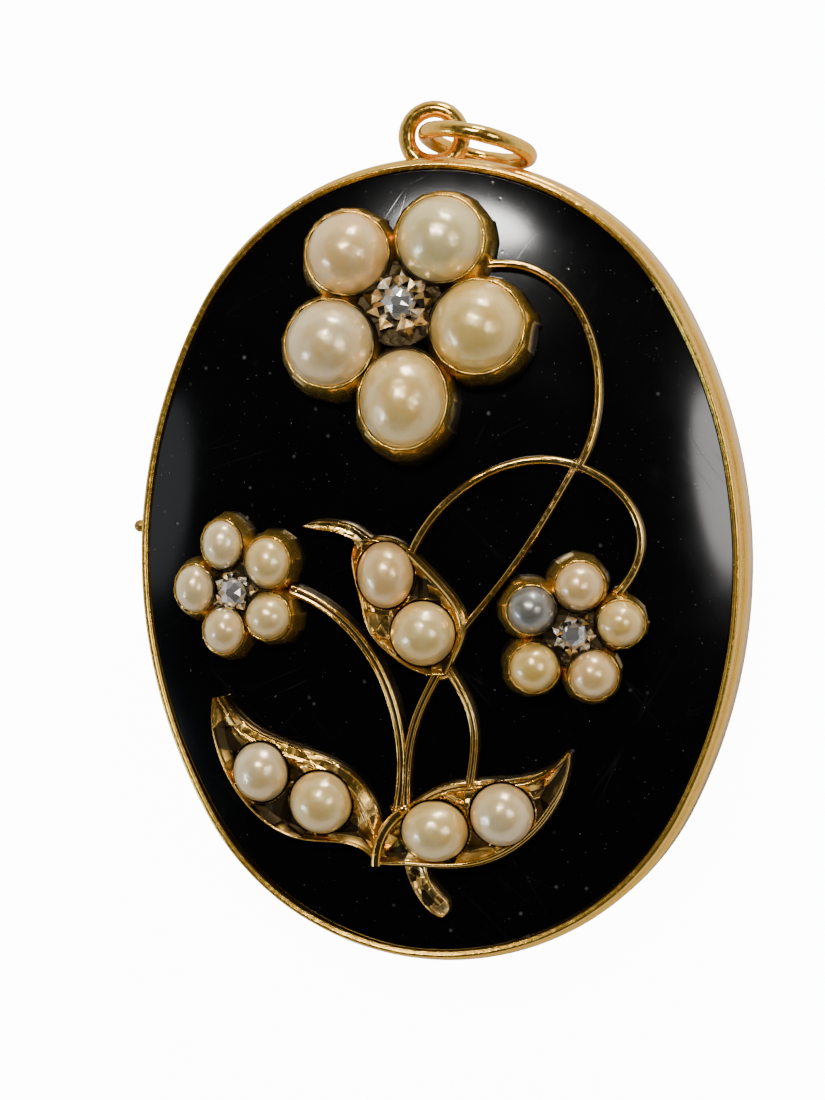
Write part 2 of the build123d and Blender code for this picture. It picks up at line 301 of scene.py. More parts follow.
# %% [markdown]
# ## Golds
# The brooch shows five finishes: the spray, polished by wear; the cups, cut and darker; the
# case, coarse and matt; the drawn wire of eye and ring; and the silvery metal round the rose
# cuts. They could be five materials built one by one. One recipe with three colours and six
# numbers keeps them related, as on the real brooch, where one gold was worked in several ways.

# %% Gold recipe
ROUGH_TARNISH, ROUGH_GRAIN = 0.48, 0.36


def gold(name, bright, deep, tarnish, polish, grime, patchy, grain, hammered, metallic):
    material, tree, shader = new_material(name, {"Metallic": metallic})
    # The piece's wear, and in places painted shade, moves the colour between tarnish and gold
    wear_and_shade_value = add(tree, "Attribute", attribute_name="wear_and_shade").outputs["Fac"]
    metal = add(tree, "Group", {"Wear And Shade": wear_and_shade_value, "Patch Strength": patchy, "Grime": grime},
                node_tree=worn_and_shaded_metal).outputs
    hairs = add(tree, "Group", {"Scratch Scale": 900.0, "Scratch Width": 0.02, "Pit Size": 0.10},
                node_tree=marks_group).outputs
    tone = blend(tree, metal["Tone"], deep, bright)
    rough = blend(tree, metal["Bright Metal"], grey(ROUGH_TARNISH), grey(polish))
    grainy = spread(tree, metal["Grain"], 0.50, 0.80)
    waves = bump(tree, hammered, 0.0002, noise(tree, 900, 2))
    cut_in = maths(tree, "ADD", hairs["Scratches"], hairs["Pits"])
    dug = maths(tree, "SUBTRACT", metal["Grain"], cut_in)
    feed(tree, shader, {
        "Base Color": blend(tree, metal["Bright Metal"], tarnish, tone),
        "Roughness": blend(tree, grainy, rough, grey(ROUGH_GRAIN)),
        "Normal": bump(tree, grain, 0.00005, dug, Normal=waves)})
    return material


# Columns: bright, deep and tarnish colour, then polish, grime, patches, grain, waves of the
# hammer and how much of it is metal
finishes = {
    "spray_gold": ((0.93, 0.60, 0.18), (0.84, 0.47, 0.07), (0.045, 0.030, 0.012),
                   0.12, 0.36, 0.55, 0.02, 0.10, 0.97),
    "cup_gold": ((0.92, 0.59, 0.13), (0.74, 0.42, 0.06), (0.050, 0.034, 0.014),
                 0.16, 0.36, 0.80, 0.03, 0.14, 0.90),
    "rim_gold": ((0.95, 0.57, 0.09), (0.88, 0.49, 0.065), (0.22, 0.13, 0.03),
                 0.22, 0.10, 0.35, 0.12, 0.20, 0.95),
    "wire_gold": ((0.96, 0.59, 0.12), (0.90, 0.50, 0.07), (0.26, 0.14, 0.03),
                  0.16, 0.02, 0.2, 0.04, 0.22, 0.93),
    "star_metal": ((0.92, 0.80, 0.60), (0.70, 0.54, 0.32), (0.06, 0.045, 0.025),
                   0.14, 0.25, 0.5, 0.05, 0.4, 1.0),
}
spray_gold, cup_gold, rim_gold, wire_gold, star_metal = (
    gold(name, *finish) for name, finish in finishes.items())
print(len(finishes), "golds")

# %% [markdown]
# ## Black stone
# The plaque is polished black stone or glass, so nearly all that is seen of it is reflection.
# Plain black would look like a hole. Its polish is hazier in some places than in others, and
# pits, hairlines and grains of dust break the reflection.

# %% Stone material
stone_black, tree, shader = new_material("stone_black", {"IOR": 1.54})
marks = add(tree, "Group", {
    "Pit Scale": 800.0, "Pit Size": 0.12, "Scratch Scale": 500.0, "Scratch Width": 0.006},
    node_tree=marks_group).outputs
dust = maths(tree, "MULTIPLY", spread(tree, noise(tree, 6500, 2, 0.4), 0.755, 0.80), 0.6)
speck = maths(tree, "ADD", maths(tree, "MULTIPLY", marks["Pits"], 0.5), dust, True)
pale = maths(tree, "ADD", speck, maths(tree, "MULTIPLY", marks["Scratches"], 0.04), True)
haze = spread(tree, noise(tree, 260, 6, 0.6), 0.3, 0.8)
dug = maths(tree, "ADD", marks["Pits"], maths(tree, "MULTIPLY", marks["Scratches"], 0.12))
feed(tree, shader, {
    "Base Color": blend(tree, pale, (0.0012, 0.0012, 0.0013), (0.30, 0.29, 0.27)),
    "Roughness": blend(tree, haze, grey(0.10), grey(0.15)),
    "Normal": bump(tree, 0.45, 0.00003, maths(tree, "SUBTRACT", 1.0, dug))})
print("stone", len(tree.nodes), "nodes")

# %% [markdown]
# ## Pearls
# A pearl is thin clear layers over a pale body, and no two have the same colour. Glass or skin
# settings come near, but miss the soft light round each highlight. Here a metallic share gives
# that glow, a coat gives the sharp highlights, and a little light passes under the surface.

# %% Pearl materials
LUSTRE = {
    "Metallic": 0.28, "Roughness": 0.31, "Subsurface Weight": 0.15,
    "Subsurface Radius": (0.9, 0.6, 0.35), "Subsurface Scale": 0.0006, "Specular IOR Level": 0.9,
    "Specular Tint": (1.0, 0.88, 0.72, 1), "Coat Weight": 1.0, "Coat Tint": (1.0, 0.96, 0.90, 1),
    "Coat IOR": 2.0, "Coat Roughness": 0.26,
}
STAIN = (0.20, 0.12, 0.04)


def pearl_material(name, body, warm, edge):
    material, tree, shader = new_material(name, LUSTRE)
    clouds = spread(tree, noise(tree, 430, 4, 0.5), 0.38, 0.64)
    bands = spread(tree, noise(tree, 1300, 3, 0.5, (1, 1, 3)), 0.45, 1.1)
    colour = blend(tree, bands, blend(tree, clouds, body, warm), edge)
    marks = add(tree, "Group", {
        "Pit Scale": 480.0, "Pit Size": 0.10, "Scratch Scale": 300.0, "Scratch Width": 0.01},
        node_tree=marks_group).outputs
    stained = maths(tree, "MULTIPLY", marks["Pits"], 0.6)
    lumps = bump(tree, 0.6, 0.00030, noise(tree, 480, 2))
    pits = bump(tree, 0.5, 0.00004, maths(tree, "SUBTRACT", 1.0, marks["Pits"]), Normal=lumps)
    feed(tree, shader, {
        "Base Color": blend(tree, stained, colour, STAIN), "Normal": pits, "Coat Normal": lumps})
    return material


# Columns: body, its warm clouds, its pale bands
pearl_tints = {
    "pearl_cream": ((0.87, 0.65, 0.24), (0.87, 0.57, 0.14), (0.92, 0.76, 0.42)),
    "pearl_peach": ((0.90, 0.61, 0.24), (0.90, 0.54, 0.14), (0.92, 0.73, 0.41)),
    "pearl_pale": ((0.88, 0.70, 0.36), (0.87, 0.61, 0.24), (0.92, 0.80, 0.54)),
    "pearl_golden": ((0.86, 0.62, 0.17), (0.86, 0.54, 0.10), (0.90, 0.73, 0.32)),
    "pearl_grey": ((0.19, 0.19, 0.165), (0.17, 0.155, 0.13), (0.30, 0.32, 0.34)),
    "pearl_green": ((0.83, 0.69, 0.30), (0.84, 0.64, 0.20), (0.90, 0.79, 0.48)),
}
pearl_looks = {name: pearl_material(name, *tint) for name, tint in pearl_tints.items()}
print(len(pearl_looks), "pearl tints")

# %% [markdown]
# ## Rose-cut stones
# Old rose cuts are backed with foil, so they flash like small mirrors and hardly let anything
# through. Clear glass over gold would show the cup's floor instead. A pale metallic body under
# a clear coat gives the mirror and the facets, and renders fast.

# %% Rose-cut material
diamond_cut = new_material("diamond_cut", {
    "Base Color": (0.70, 0.67, 0.63, 1), "Metallic": 0.8, "Roughness": 0.05,
    "Coat Weight": 1.0, "Coat Roughness": 0.02})[0]
print("materials", len(bpy.data.materials))

# %% [markdown]
# ## The stone's dome
# The dome is one flat ellipsoid. Two numbers from the CAD part fix it: its height over the
# lip and how far it would spread beyond the case. It is a function, because everything in the
# spray stands on it.

# %% Dome height
SPREAD = 1.18 * 0.97  # half width of the ellipsoid, as a share of the case's
MOUTH = 0.73  # from the outside of the case to the stone
UNDER_LIP = 0.24  # from the top of the lip down to the stone's edge
dome_half_width = half_width * SPREAD
dome_half_length = half_length * SPREAD
edge_fall = math.sqrt(1 - ((half_width - MOUTH) / dome_half_width) ** 2)
dome_height = (stone_high[2] - (lip_top - UNDER_LIP)) / (1 - edge_fall)
dome_z = stone_high[2] - dome_height


def dome(x, y):
    fall = 1 - (np.asarray(x) / dome_half_width) ** 2 - (np.asarray(y) / dome_half_length) ** 2
    return dome_z + dome_height * np.sqrt(np.maximum(fall, 0))


def placed(x, y, z):
    """From the oval's own centre to the place where it lies."""
    return np.stack([x + centre_x, y + centre_y, z], -1)


dome_edge = float(dome(half_width - MOUTH, 0))
print("dome top", round(float(dome(0, 0)), 2), "edge", round(dome_edge, 2))

# %% [markdown]
# ## The oval
# A goldsmith's oval is four arcs, two flat and two tight, not an ellipse. The arcs meet without
# a corner, so a line set back from them stays even all the way round.

# %% Oval of four arcs
END_SHARE = 0.898  # radius of the tight arcs, as a share of the half width
AROUND = 720


def oval(inset=0.0):
    """Points round the oval, set back by the inset, and the way outwards at each."""
    end = END_SHARE * half_width
    rise = half_length - end
    side = (half_width**2 - end**2 + rise**2) / (2 * (half_width - end))
    meet = math.atan2(rise, side - half_width)
    normals, places = [], []
    for angle in around(AROUND):
        folded = math.atan2(abs(math.sin(angle)), abs(math.cos(angle)))
        on_side = folded < meet
        middle, radius = ((half_width - side, 0), side) if on_side else ((0, rise), end)
        across, along = math.copysign(1, math.cos(angle)), math.copysign(1, math.sin(angle))
        out = (math.cos(folded) * across, math.sin(folded) * along)
        normals.append(out)
        places.append((middle[0] * across + out[0] * (radius - inset),
                       middle[1] * along + out[1] * (radius - inset)))
    return np.array(places), np.array(normals)


print("oval of", AROUND, "points")

# %% [markdown]
# ## The case
# The case was bent from strip, with a bezel soldered on top whose lip is rubbed over the stone.
# A bevelled curve could draw it, but one profile swept round the oval, from back edge over
# band, step and bezel to lip, lets the wear and the small dents follow each line of it. The
# dents sit where the lip was pushed down by hand.

# %% Sweep the case
# Columns: inset from the outside, height over the back edge, dent share, wear
case_profile = (
    (0.95, 0.52, 0, 0.0), (0.92, 0.40, 0, 0.0), (0.90, 0.04, 0, 0.2), (0.80, 0.0, 0, 0.8),
    (0.36, 0.0, 0, 0.6), (0.18, 0.04, 0, 0.9), (0.05, 0.16, 0, 0.9), (0.0, 0.36, 0, 0.5),
    (0.0, 1.2, 0, 0.6), (0.0, 2.2, 0, 0.6), (0.0, 2.9, 0, 0.7), (0.03, 3.12, 0, 0.8),
    (0.09, 3.29, 0, 0.9), (0.17, 3.41, 0, 0.9), (0.245, 3.46, 0, 0.7), (0.275, 3.49, 0, 0.35),
    (0.285, 3.6, 0.1, 0.5), (0.29, 4.2, 0.3, 0.6), (0.295, 4.54, 0.5, 0.7), (0.33, 4.68, 0.7, 0.9),
    (0.41, 4.77, 1.0, 1.0), (0.50, 4.79, 1.0, 0.9), (0.57, 4.76, 1.0, 0.5), (0.61, 4.73, 1.0, 0.25),
    (0.65, 4.74, 1.2, 0.6), (0.70, 4.73, 1.5, 1.0), (0.725, 4.68, 1.6, 0.7), (0.73, 4.60, 1.2, 0.0),
    (0.72, 4.50, 0.5, 0.0),
)
angles = around(AROUND)
dents = ripples(angles, 4, 9, 9) * 0.016 + ripples(angles, 5, 12, 35) * 0.006
_, outwards = oval()
rows, wear_and_shade = [], []
for inset, height, share, shine in case_profile:
    track, _ = oval(inset)
    push = dents * share
    level = np.full(AROUND, back_edge + height) + 0.6 * push - 0.012 * share
    rows.append(placed(*(track - outwards * push[:, None]).T, level))
    wear_and_shade.append(np.full(AROUND, shine))
band = ring_mesh("case_band", rows, wear_and_shade, loop=True)

# %% Back plate
PLATE_INSET, PLATE_HEIGHT, PLATE_THICKNESS = 0.94, 0.52, 0.3
track, _ = oval(PLATE_INSET)
level = np.full(AROUND, back_edge + PLATE_HEIGHT)
rows = [placed(*(track * share).T, level) for share in np.linspace(0, 1, 14)]
rows.append(rows[-1] + [0, 0, PLATE_THICKNESS])
plate = ring_mesh("back_plate", rows, np.full(len(rows) * AROUND, 0.4), crease=50)
print("case", len(band.data.polygons) + len(plate.data.polygons), "faces")

# %% [markdown]
# ## Trees that make what follows a path
# A Geometry Nodes tree is a recipe that is kept apart from its sizes. One tree bends the eye
# and the jump ring, one sweeps all the stems, and one sets the petals round a rose cut. Its
# result is turned into a plain mesh, so that the piece can be handed over like any other.

# %% Start, end and run a tree
def shape_tree(name, inputs):
    shape = ("Geometry", "Geometry", None)
    return new_group(name, "Geometry", (shape, *inputs), (shape,))


def finish_tree(tree, last, material, end):
    dressed = add(tree, "GeometryNodeSetMaterial", {"Geometry": last, "Material": material})
    whole = add(tree, "GeometryNodeRealizeInstances", {"Geometry": dressed})
    feed(tree, end, {"Geometry": whole})
    print("tree", tree.name, len(tree.nodes), "nodes")


def grow(name, tree, host_data, values):
    host = bpy.data.objects.new(name + "_host", host_data)
    bpy.context.collection.objects.link(host)
    modifier = host.modifiers.new("shape", "NODES")
    modifier.node_group = tree
    for item in tree.interface.items_tree:
        if item.in_out == "INPUT" and item.name in values:
            modifier[item.identifier] = values[item.name]
    evaluated = host.evaluated_get(bpy.context.evaluated_depsgraph_get())
    mesh = bpy.data.meshes.new_from_object(evaluated)
    mesh.name = name
    piece = bpy.data.objects.new(name, mesh)
    bpy.context.collection.objects.link(piece)
    bpy.data.objects.remove(host)
    return piece


def stand(piece, across, along, up, middle):
    """Turn a piece made flat at the origin into its place."""
    turn = Matrix(np.array((across, along, up)).T.tolist()).to_4x4()
    turn.translation = np.asarray(middle) * MM
    piece.data.transform(turn)
    return piece


# %% [markdown]
# ## The eye and the jump ring
# Both are bent from round wire. A torus would do, but looks turned on a lathe. Here a circle is
# swept along a circle, and a slow noise makes the wire swell and thin. The eye is soldered to
# the case, so its foot is thicker and duller; the ring is loose and rides on its own body.

# %% Tree: bent wire
TAKEN_OFF = 0.62  # more than the noise's mean, so the waves thin the wire more than they swell it
tree, given, end = shape_tree("bent wire", (
    ("Radius", "Float", 0.003), ("Wire", "Float", 0.001), ("Wobble", "Float", 0.00003),
    ("Seed", "Float", 1.0), ("Material", "Material", None)))
half_wire = maths(tree, "MULTIPLY", given["Wire"], 0.5)
path = add(tree, "GeometryNodeCurvePrimitiveCircle", {"Resolution": 180, "Radius": given["Radius"]})
cut = add(tree, "GeometryNodeCurvePrimitiveCircle", {"Resolution": 40, "Radius": half_wire})
tube = add(tree, "GeometryNodeCurveToMesh", {"Curve": path, "Profile Curve": cut})
waves = add(tree, "TexNoise", {"W": given["Seed"], "Scale": 700.0, "Detail": 2.0},
            noise_dimensions="4D")
middle = maths(tree, "ADD", waves, -TAKEN_OFF)
amount = maths(tree, "MULTIPLY", middle, given["Wobble"])
out = add(tree, "GeometryNodeInputNormal")
push = add(tree, "VectorMath", {0: out, "Scale": amount}, operation="SCALE")
moved = add(tree, "GeometryNodeSetPosition", {"Geometry": tube, "Offset": push})
soft = add(tree, "GeometryNodeSetShadeSmooth", {"Geometry": moved})
finish_tree(tree, soft, given["Material"], end)
wire_tree = tree


# %% Bend the eye
WIRE_WOBBLE = 0.0001


def bend_wire(name, radius, wire, seed, middle, across, up):
    piece = grow(name, wire_tree, bpy.data.meshes.new(name + "_start"), {
        "Radius": radius * MM, "Wire": wire * MM, "Wobble": WIRE_WOBBLE, "Seed": seed,
        "Material": wire_gold})
    return stand(piece, across, up, np.cross(across, up), middle)


EYE_WIRE, EYE_RADIUS, EYE_LEFT, EYE_HEIGHT = 1.05, 1.66, 0.30, 1.6
FOOT_SPREAD, FOOT_SWELL = 0.75, 0.28
eye_spot = np.array((
    centre_x - EYE_LEFT, case_high[1] - EYE_RADIUS - EYE_WIRE / 2, back_edge + EYE_HEIGHT))
eye = bend_wire("eye", EYE_RADIUS, EYE_WIRE, 3.0, eye_spot, (1, 0, 0), (0, 1, 0))
spots = corners(eye)
bearing = np.arctan2(spots[:, 1] - eye_spot[1], spots[:, 0] - eye_spot[0])
core = eye_spot + EYE_RADIUS * np.stack([np.cos(bearing), np.sin(bearing), 0 * bearing], -1)
foot = np.exp(-(((bearing + math.pi / 2) / FOOT_SPREAD) ** 2))
swollen = core + (spots - core) * (1 + FOOT_SWELL * foot)[:, None]
eye.data.vertices.foreach_set("co", (swollen * MM).ravel())
eye.data.update()
set_wear_and_shade(eye.data, 1.0 - 0.75 * foot)
print("eye", round(2 * EYE_RADIUS + EYE_WIRE, 2), "mm across")

# %% Bend the jump ring
RING_RADIUS, RING_WIRE = 3.15, 1.035
ring_low, ring_high = (np.array(corner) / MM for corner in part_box("jump_ring"))
lean, tilt = math.radians(12.0), math.radians(13.0)
ring_far = np.array((math.cos(lean), -math.sin(lean), 0))
ring_side = np.array((math.sin(lean), math.cos(lean), 0))
ring_up = ring_side * math.sin(tilt) + np.array((0, 0, math.cos(tilt)))
ring_middle = (ring_low + ring_high) / 2
jump_ring = bend_wire("jump_ring_wire", RING_RADIUS, RING_WIRE, 8.0, ring_middle, ring_far, ring_up)
set_wear_and_shade(jump_ring.data, np.ones(len(jump_ring.data.vertices)))
print("ring", (ring_high - ring_low).round(2), "mm")

# %% [markdown]
# ## The stone plaque
# The plaque was ground to a low dome and dropped into the case before the lip was closed. A
# scaled sphere would be too round at the rim. Rows that follow the oval and stand on the dome
# give its true fall, and they are dense, so that the broad reflections stay smooth.

# %% Plaque
stone_inset = half_width - (stone_high[0] - stone_low[0]) / 2
PLAY, SUNK = 0.01, 0.004  # keep the stone inside its CAD solid
track, _ = oval(stone_inset + PLAY)
rows = []
for share in (np.linspace(0, 1, 90) ** 0.8)[::-1]:
    x, y = (track * share).T
    rows.append(placed(x, y, dome(x, y) - SUNK))
skirt = rows[0].copy()
skirt[:, 2] = stone_low[2]
plaque = ring_mesh("stone", [skirt] + rows)
print("plaque", len(plaque.data.polygons), "faces")

# %% [markdown]
# ## Where the pearls sit
# Each half pearl of the CAD model has one flat face, its base. That face's direction gives the
# way the pearl leans, and the spread of its corners gives its two half widths. Measuring them
# keeps every dressed pearl inside its own solid, whatever the sizes in the CAD part.

# %% Measure the set stones
def measure(name):
    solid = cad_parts[name]
    shares = {}
    for face in solid.data.polygons:
        way = tuple(round(v, 2) for v in face.normal)
        if way[2] < -0.5:
            shares[way] = shares.get(way, 0) + face.area
    way = max(shares, key=shares.get)
    base = [face.normal * face.area for face in solid.data.polygons
            if all(abs(a - b) < 0.03 for a, b in zip(face.normal, way))]
    up = -np.array(sum(base[1:], base[0]))
    up /= np.linalg.norm(up)
    across = np.array((up[2], 0, -up[0]))
    across /= np.linalg.norm(across)
    along = np.cross(up, across)
    local = corners(solid) @ np.stack([across, along, up], 1)
    low, high = local.min(0), local.max(0)
    middle, (width, length, tall) = (low + high) / 2, high - low
    return {"base": across * middle[0] + along * middle[1] + up * low[2],
            "across": across, "along": along, "up": up,
            "wide": width / 2, "long": length / 2, "tall": tall}


def at(spot, x, y, z):
    """From a set stone's own directions to the place where it sits."""
    x, y, z = np.broadcast_arrays(x, y, z)
    return (spot["base"] + x[..., None] * spot["across"] + y[..., None] * spot["along"]
            + z[..., None] * spot["up"])


def ring_at(spot, turn, wide, long, height):
    return at(spot, wide * np.cos(turn), long * np.sin(turn), height)


pearls, diamonds = (
    {name: measure(name) for name in sorted(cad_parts) if name.startswith(kind)}
    for kind in ("pearl", "diamond"))
for name in ("pearl_big_1", "pearl_left_5", "pearl_leaf_2"):
    print(name, "wide", round(pearls[name]["wide"], 2), "tall", round(pearls[name]["tall"], 2))

# %% [markdown]
# ## Half pearls
# Each pearl was sawn in half and sits flat in its setting. Half a sphere would make them all
# twins. Here each gets its own slow waves round its outline and its side, so that no two
# highlights are alike, and small dents come from its material.

# %% Pearl domes
IN_CUP, IN_LEAF = 0.8, 0.5  # height of the straight girdle, which the setting hides
INSIDE, OFF_BASE = 0.985, 0.02  # keep a set stone's foot inside its CAD solid


def pearl_mesh(name, spot, seed):
    turn = around(72)
    girdle = IN_LEAF if "leaf" in name or "bud" in name else IN_CUP
    half = min(spot["wide"], spot["long"])
    rise = (spot["tall"] - girdle + 0.10) / half
    radius = max((1 + rise**2) / (2 * rise), 1.0)
    squeeze = 1 - 0.006 * (1 + np.tanh(ripples(turn, seed, 3, 2)))
    sag = 0.012 * (1 + np.tanh(ripples(turn, seed + 1, 3, 1)))
    rows = [ring_at(spot, turn, spot["wide"] * INSIDE, spot["long"] * INSIDE, OFF_BASE)]
    for angle in np.linspace(math.asin(1 / radius), 0, 40):
        flat = radius * math.sin(angle) * squeeze * (1 - sag * math.sin(2 * angle))
        height = girdle - 0.12 + ((math.cos(angle) - 1) * radius + rise) * half
        rows.append(ring_at(spot, turn, spot["wide"] * flat, spot["long"] * flat, height))
    return ring_mesh(name + "_dome", rows)


pearl_pieces = {name: pearl_mesh(name, spot, 40 + place)
                for place, (name, spot) in enumerate(pearls.items())}
print(len(pearl_pieces), "pearls")

# %% [markdown]
# ## Cups of the flowers
# A cup is a strip of sheet bent round its pearl, cut with flat facets outside and pushed over
# the pearl's edge as a thin rim. A bent tube would be smooth and even. One profile is drawn for
# all cups, and each cup then gets its own facets, its own nicks in the rim and its own wear.
# Towards the flower's heart the wear fades, which paints the shade between the crowded cups.

# %% Flat cuts round a cup
def flat_cuts(turn, count, rng):
    """How far each flat cut lies inside the round, and which cut each angle belongs to."""
    edges = np.sort((np.arange(count) + rng.uniform(-0.3, 0.3, count)) * FULL_TURN / count)
    edges = np.concatenate([edges, [edges[0] + FULL_TURN]])
    angle = np.where(turn < edges[0], turn + FULL_TURN, turn)
    which = np.clip(np.searchsorted(edges, angle, side="right") - 1, 0, count - 1)
    middle = (edges[which] + edges[which + 1]) / 2
    half = (edges[which + 1] - edges[which]) / 2
    return 1 - np.cos(half) / np.cos(angle - middle), which


# %% Sizes of the cups
# Columns: depth of the cups, number of flat cuts, radius of the flower's heart
flowers = {"big": (2.1, 15, 1.62), "left": (1.6, 11, 1.15), "right": (1.5, 11, 1.15)}
CUT_DEPTH = 0.8  # how much of a flat cut the round wall takes


def cup_profile(deep):
    """Columns: gap outside the pearl, height from the rim, share of the flat cut, wear."""
    foot = 0.14 + 0.22 * deep
    return (
        (0.0, -0.45, 0.0, 0.0), (-0.03, -0.12, 0.0, 0.0), (-0.03, 0.0, 0.0, 0.5),
        (0.0, 0.045, 0.0, 1.0), (0.05, 0.045, 0.1, 1.0), (0.10, -0.02, 0.3, 0.7),
        (0.105, -0.08, 0.6, 0.1), (0.16, -0.15, 0.9, 0.8), (0.08 + 0.13 * deep, -0.5, 1.0, 0.95),
        (0.10 + 0.16 * deep, -0.95, 1.0, 0.75), (foot, -deep, 1.0, 0.1),
        (foot, -deep - 0.8, 0.5, 0.0),
    )


print("a cup has", len(cup_profile(1.0)), "rows")


# %% Cut the cups
def cup_mesh(name, spot, seed, deep, facets, heart_spot):
    rng = np.random.default_rng(seed)
    turn = around(240)
    flat, which = flat_cuts(turn, facets, rng)
    lean_in = rng.normal(0, 0.03, facets)[which]
    shine_of = rng.uniform(-0.35, 0.30, facets)[which]
    to_heart = heart_spot["base"] - spot["base"]
    heart_angle = math.atan2(to_heart @ spot["along"], to_heart @ spot["across"])
    inward = ((1 + np.cos(turn - heart_angle)) / 2) ** 3
    nick = ripples(turn, seed + 3, 16, 12)
    top = IN_CUP + 0.02 * ripples(turn, seed + 5, 8, 5) + 0.012 * nick - 0.12 * inward
    rows, wear_and_shade = [], []
    for gap, height, share, shine in cup_profile(deep):
        at_rim = share < 0.5
        out = gap - CUT_DEPTH * flat * spot["wide"] * share + lean_in * share * height
        out += 0.022 * nick * at_rim
        rows.append(ring_at(spot, turn, spot["wide"] + out, spot["long"] + out, top + height))
        broken = 0.5 * np.clip(nick, 0, 1) * at_rim
        # Painted shade: the brightness falls towards the flower's heart, between the crowded cups
        kept = (shine + shine_of * (0 < share) - broken) * (1 - 0.9 * inward)
        wear_and_shade.append(np.clip(kept, 0, 1))
    return ring_mesh(name, rows, wear_and_shade)


cupped = [name for name in pearls if name.split("_")[1] in flowers]
cups = []
for place, name in enumerate(cupped):
    flower = name.split("_")[1]
    deep, facets, _ = flowers[flower]
    cups.append(cup_mesh("cup_" + name, pearls[name], 70 + place, deep, facets,
                         diamonds["diamond_" + flower]))
print(len(cups), "cups")

# %% [markdown]
# ## Hearts of the flowers
# Between the cups lies a rough floor of solder. On it stands a star of small creased petals,
# cut in silvery metal, which holds the rose-cut stone. Every petal could be placed by hand, but
# a jeweller makes them alike and sets them by eye. So one petal is drawn, and a tree repeats
# it round the stone, each turned and sized a little differently.

# %% Flower floors
def floor_mesh(name, spot, radius, height, seed):
    count = 120
    turn = around(count)
    rng = np.random.default_rng(seed)
    rows, wear_and_shade = [], []
    for share in np.linspace(1, 0, 30):
        rough = rng.normal(0, 0.03, count) + 0.12 * ripples(turn * 3, seed, 5, 2) * share
        rows.append(ring_at(spot, turn, radius * share, radius * share,
                            height + rough * (share > 0)))
        wear_and_shade.append(np.clip(-0.15 + rough * 2.5, 0, 0.4))
    return ring_mesh(name, rows, wear_and_shade)


FLOOR_REACH, FLOOR_HEIGHT = 1.6, -0.16
floor_bits = []
for place, (flower, (_, _, heart)) in enumerate(flowers.items()):
    floor_bits.append(floor_mesh("floor_" + flower, diamonds["diamond_" + flower],
                                 heart * FLOOR_REACH, FLOOR_HEIGHT, 90 + place))
print(len(floor_bits), "floors")

# %% Tree: petals round a stone
tree, given, end = shape_tree("petals round a stone", (
    ("Petals", "Int", 8), ("Jitter", "Float", 0.15), ("Seed", "Int", 1),
    ("Material", "Material", None)))
dots = add(tree, "GeometryNodePoints", {"Count": given["Petals"]})
number = add(tree, "GeometryNodeInputIndex")
step = maths(tree, "DIVIDE", FULL_TURN, given["Petals"])
even = maths(tree, "MULTIPLY", number, step)
back = maths(tree, "MULTIPLY", given["Jitter"], -1.0)
wander = add(tree, "FunctionNodeRandomValue", {
    "Seed": given["Seed"], 2: back, 3: given["Jitter"]}, data_type="FLOAT")
turned_by = maths(tree, "ADD", even, wander.outputs[1])
way = add(tree, "CombineXYZ", {"Y": wander.outputs[1], "Z": turned_by})
sizes = add(tree, "FunctionNodeRandomValue", {
    "Seed": given["Seed"], 2: 0.86, 3: 1.12}, data_type="FLOAT")
star = add(tree, "GeometryNodeInstanceOnPoints", {
    "Points": dots, "Instance": given["Geometry"], "Rotation": way, "Scale": sizes.outputs[1]})
finish_tree(tree, star, given["Material"], end)
star_tree = tree


# %% One creased petal
def petal_mesh(inner, outer, half, rise):
    middle = inner + 0.45 * (outer - inner)
    top = [(inner, 0, rise), (middle, half, 0.16), (outer, 0, 0.14), (middle, -half, 0.16),
           (middle, 0, rise * 0.9)]
    low = [(x, y, -0.5) for x, y, _ in top[:4]]
    faces = [(0, 4, 1), (4, 2, 1), (3, 2, 4), (0, 3, 4), (5, 6, 7, 8), (5, 8, 3, 0),
             (8, 7, 2, 3), (7, 6, 1, 2), (6, 5, 0, 1)]
    mesh = bpy.data.meshes.new("petal")
    mesh.from_pydata([(x * MM, y * MM, z * MM) for x, y, z in top + low], [], faces)
    set_wear_and_shade(mesh, [0.9, 0.6, 0.8, 0.6, 1.0, 0, 0, 0, 0])
    return mesh


# Columns: petals, inner and outer radius, half breadth, rise
star_sizes = {
    "big": (9, 0.78, 2.15, 0.60, 0.66), "left": (7, 0.66, 1.42, 0.42, 0.42),
    "right": (7, 0.56, 1.34, 0.40, 0.44),
}
star_bits = []
for place, (flower, (petals, *petal_size)) in enumerate(star_sizes.items()):
    spot = diamonds["diamond_" + flower]
    made = grow("star_" + flower, star_tree, petal_mesh(*petal_size), {
        "Petals": petals, "Jitter": 0.13, "Seed": place + 3, "Material": star_metal})
    star_bits.append(stand(made, spot["across"], spot["along"], spot["up"], spot["base"]))
print(len(star_bits), "stars of", [len(bit.data.polygons) for bit in star_bits], "faces")

# %% [markdown]
# ## Cut of the rose-cut stones
# A rose cut has a flat base and two rows of facets that rise to a small table. A sphere with
# few faces would have them in even rings. Here each corner of each row is placed by itself,
# a little uneven, as on stones cut by eye.

# %% Rose cuts
ROSE_GIRDLE = 0.35


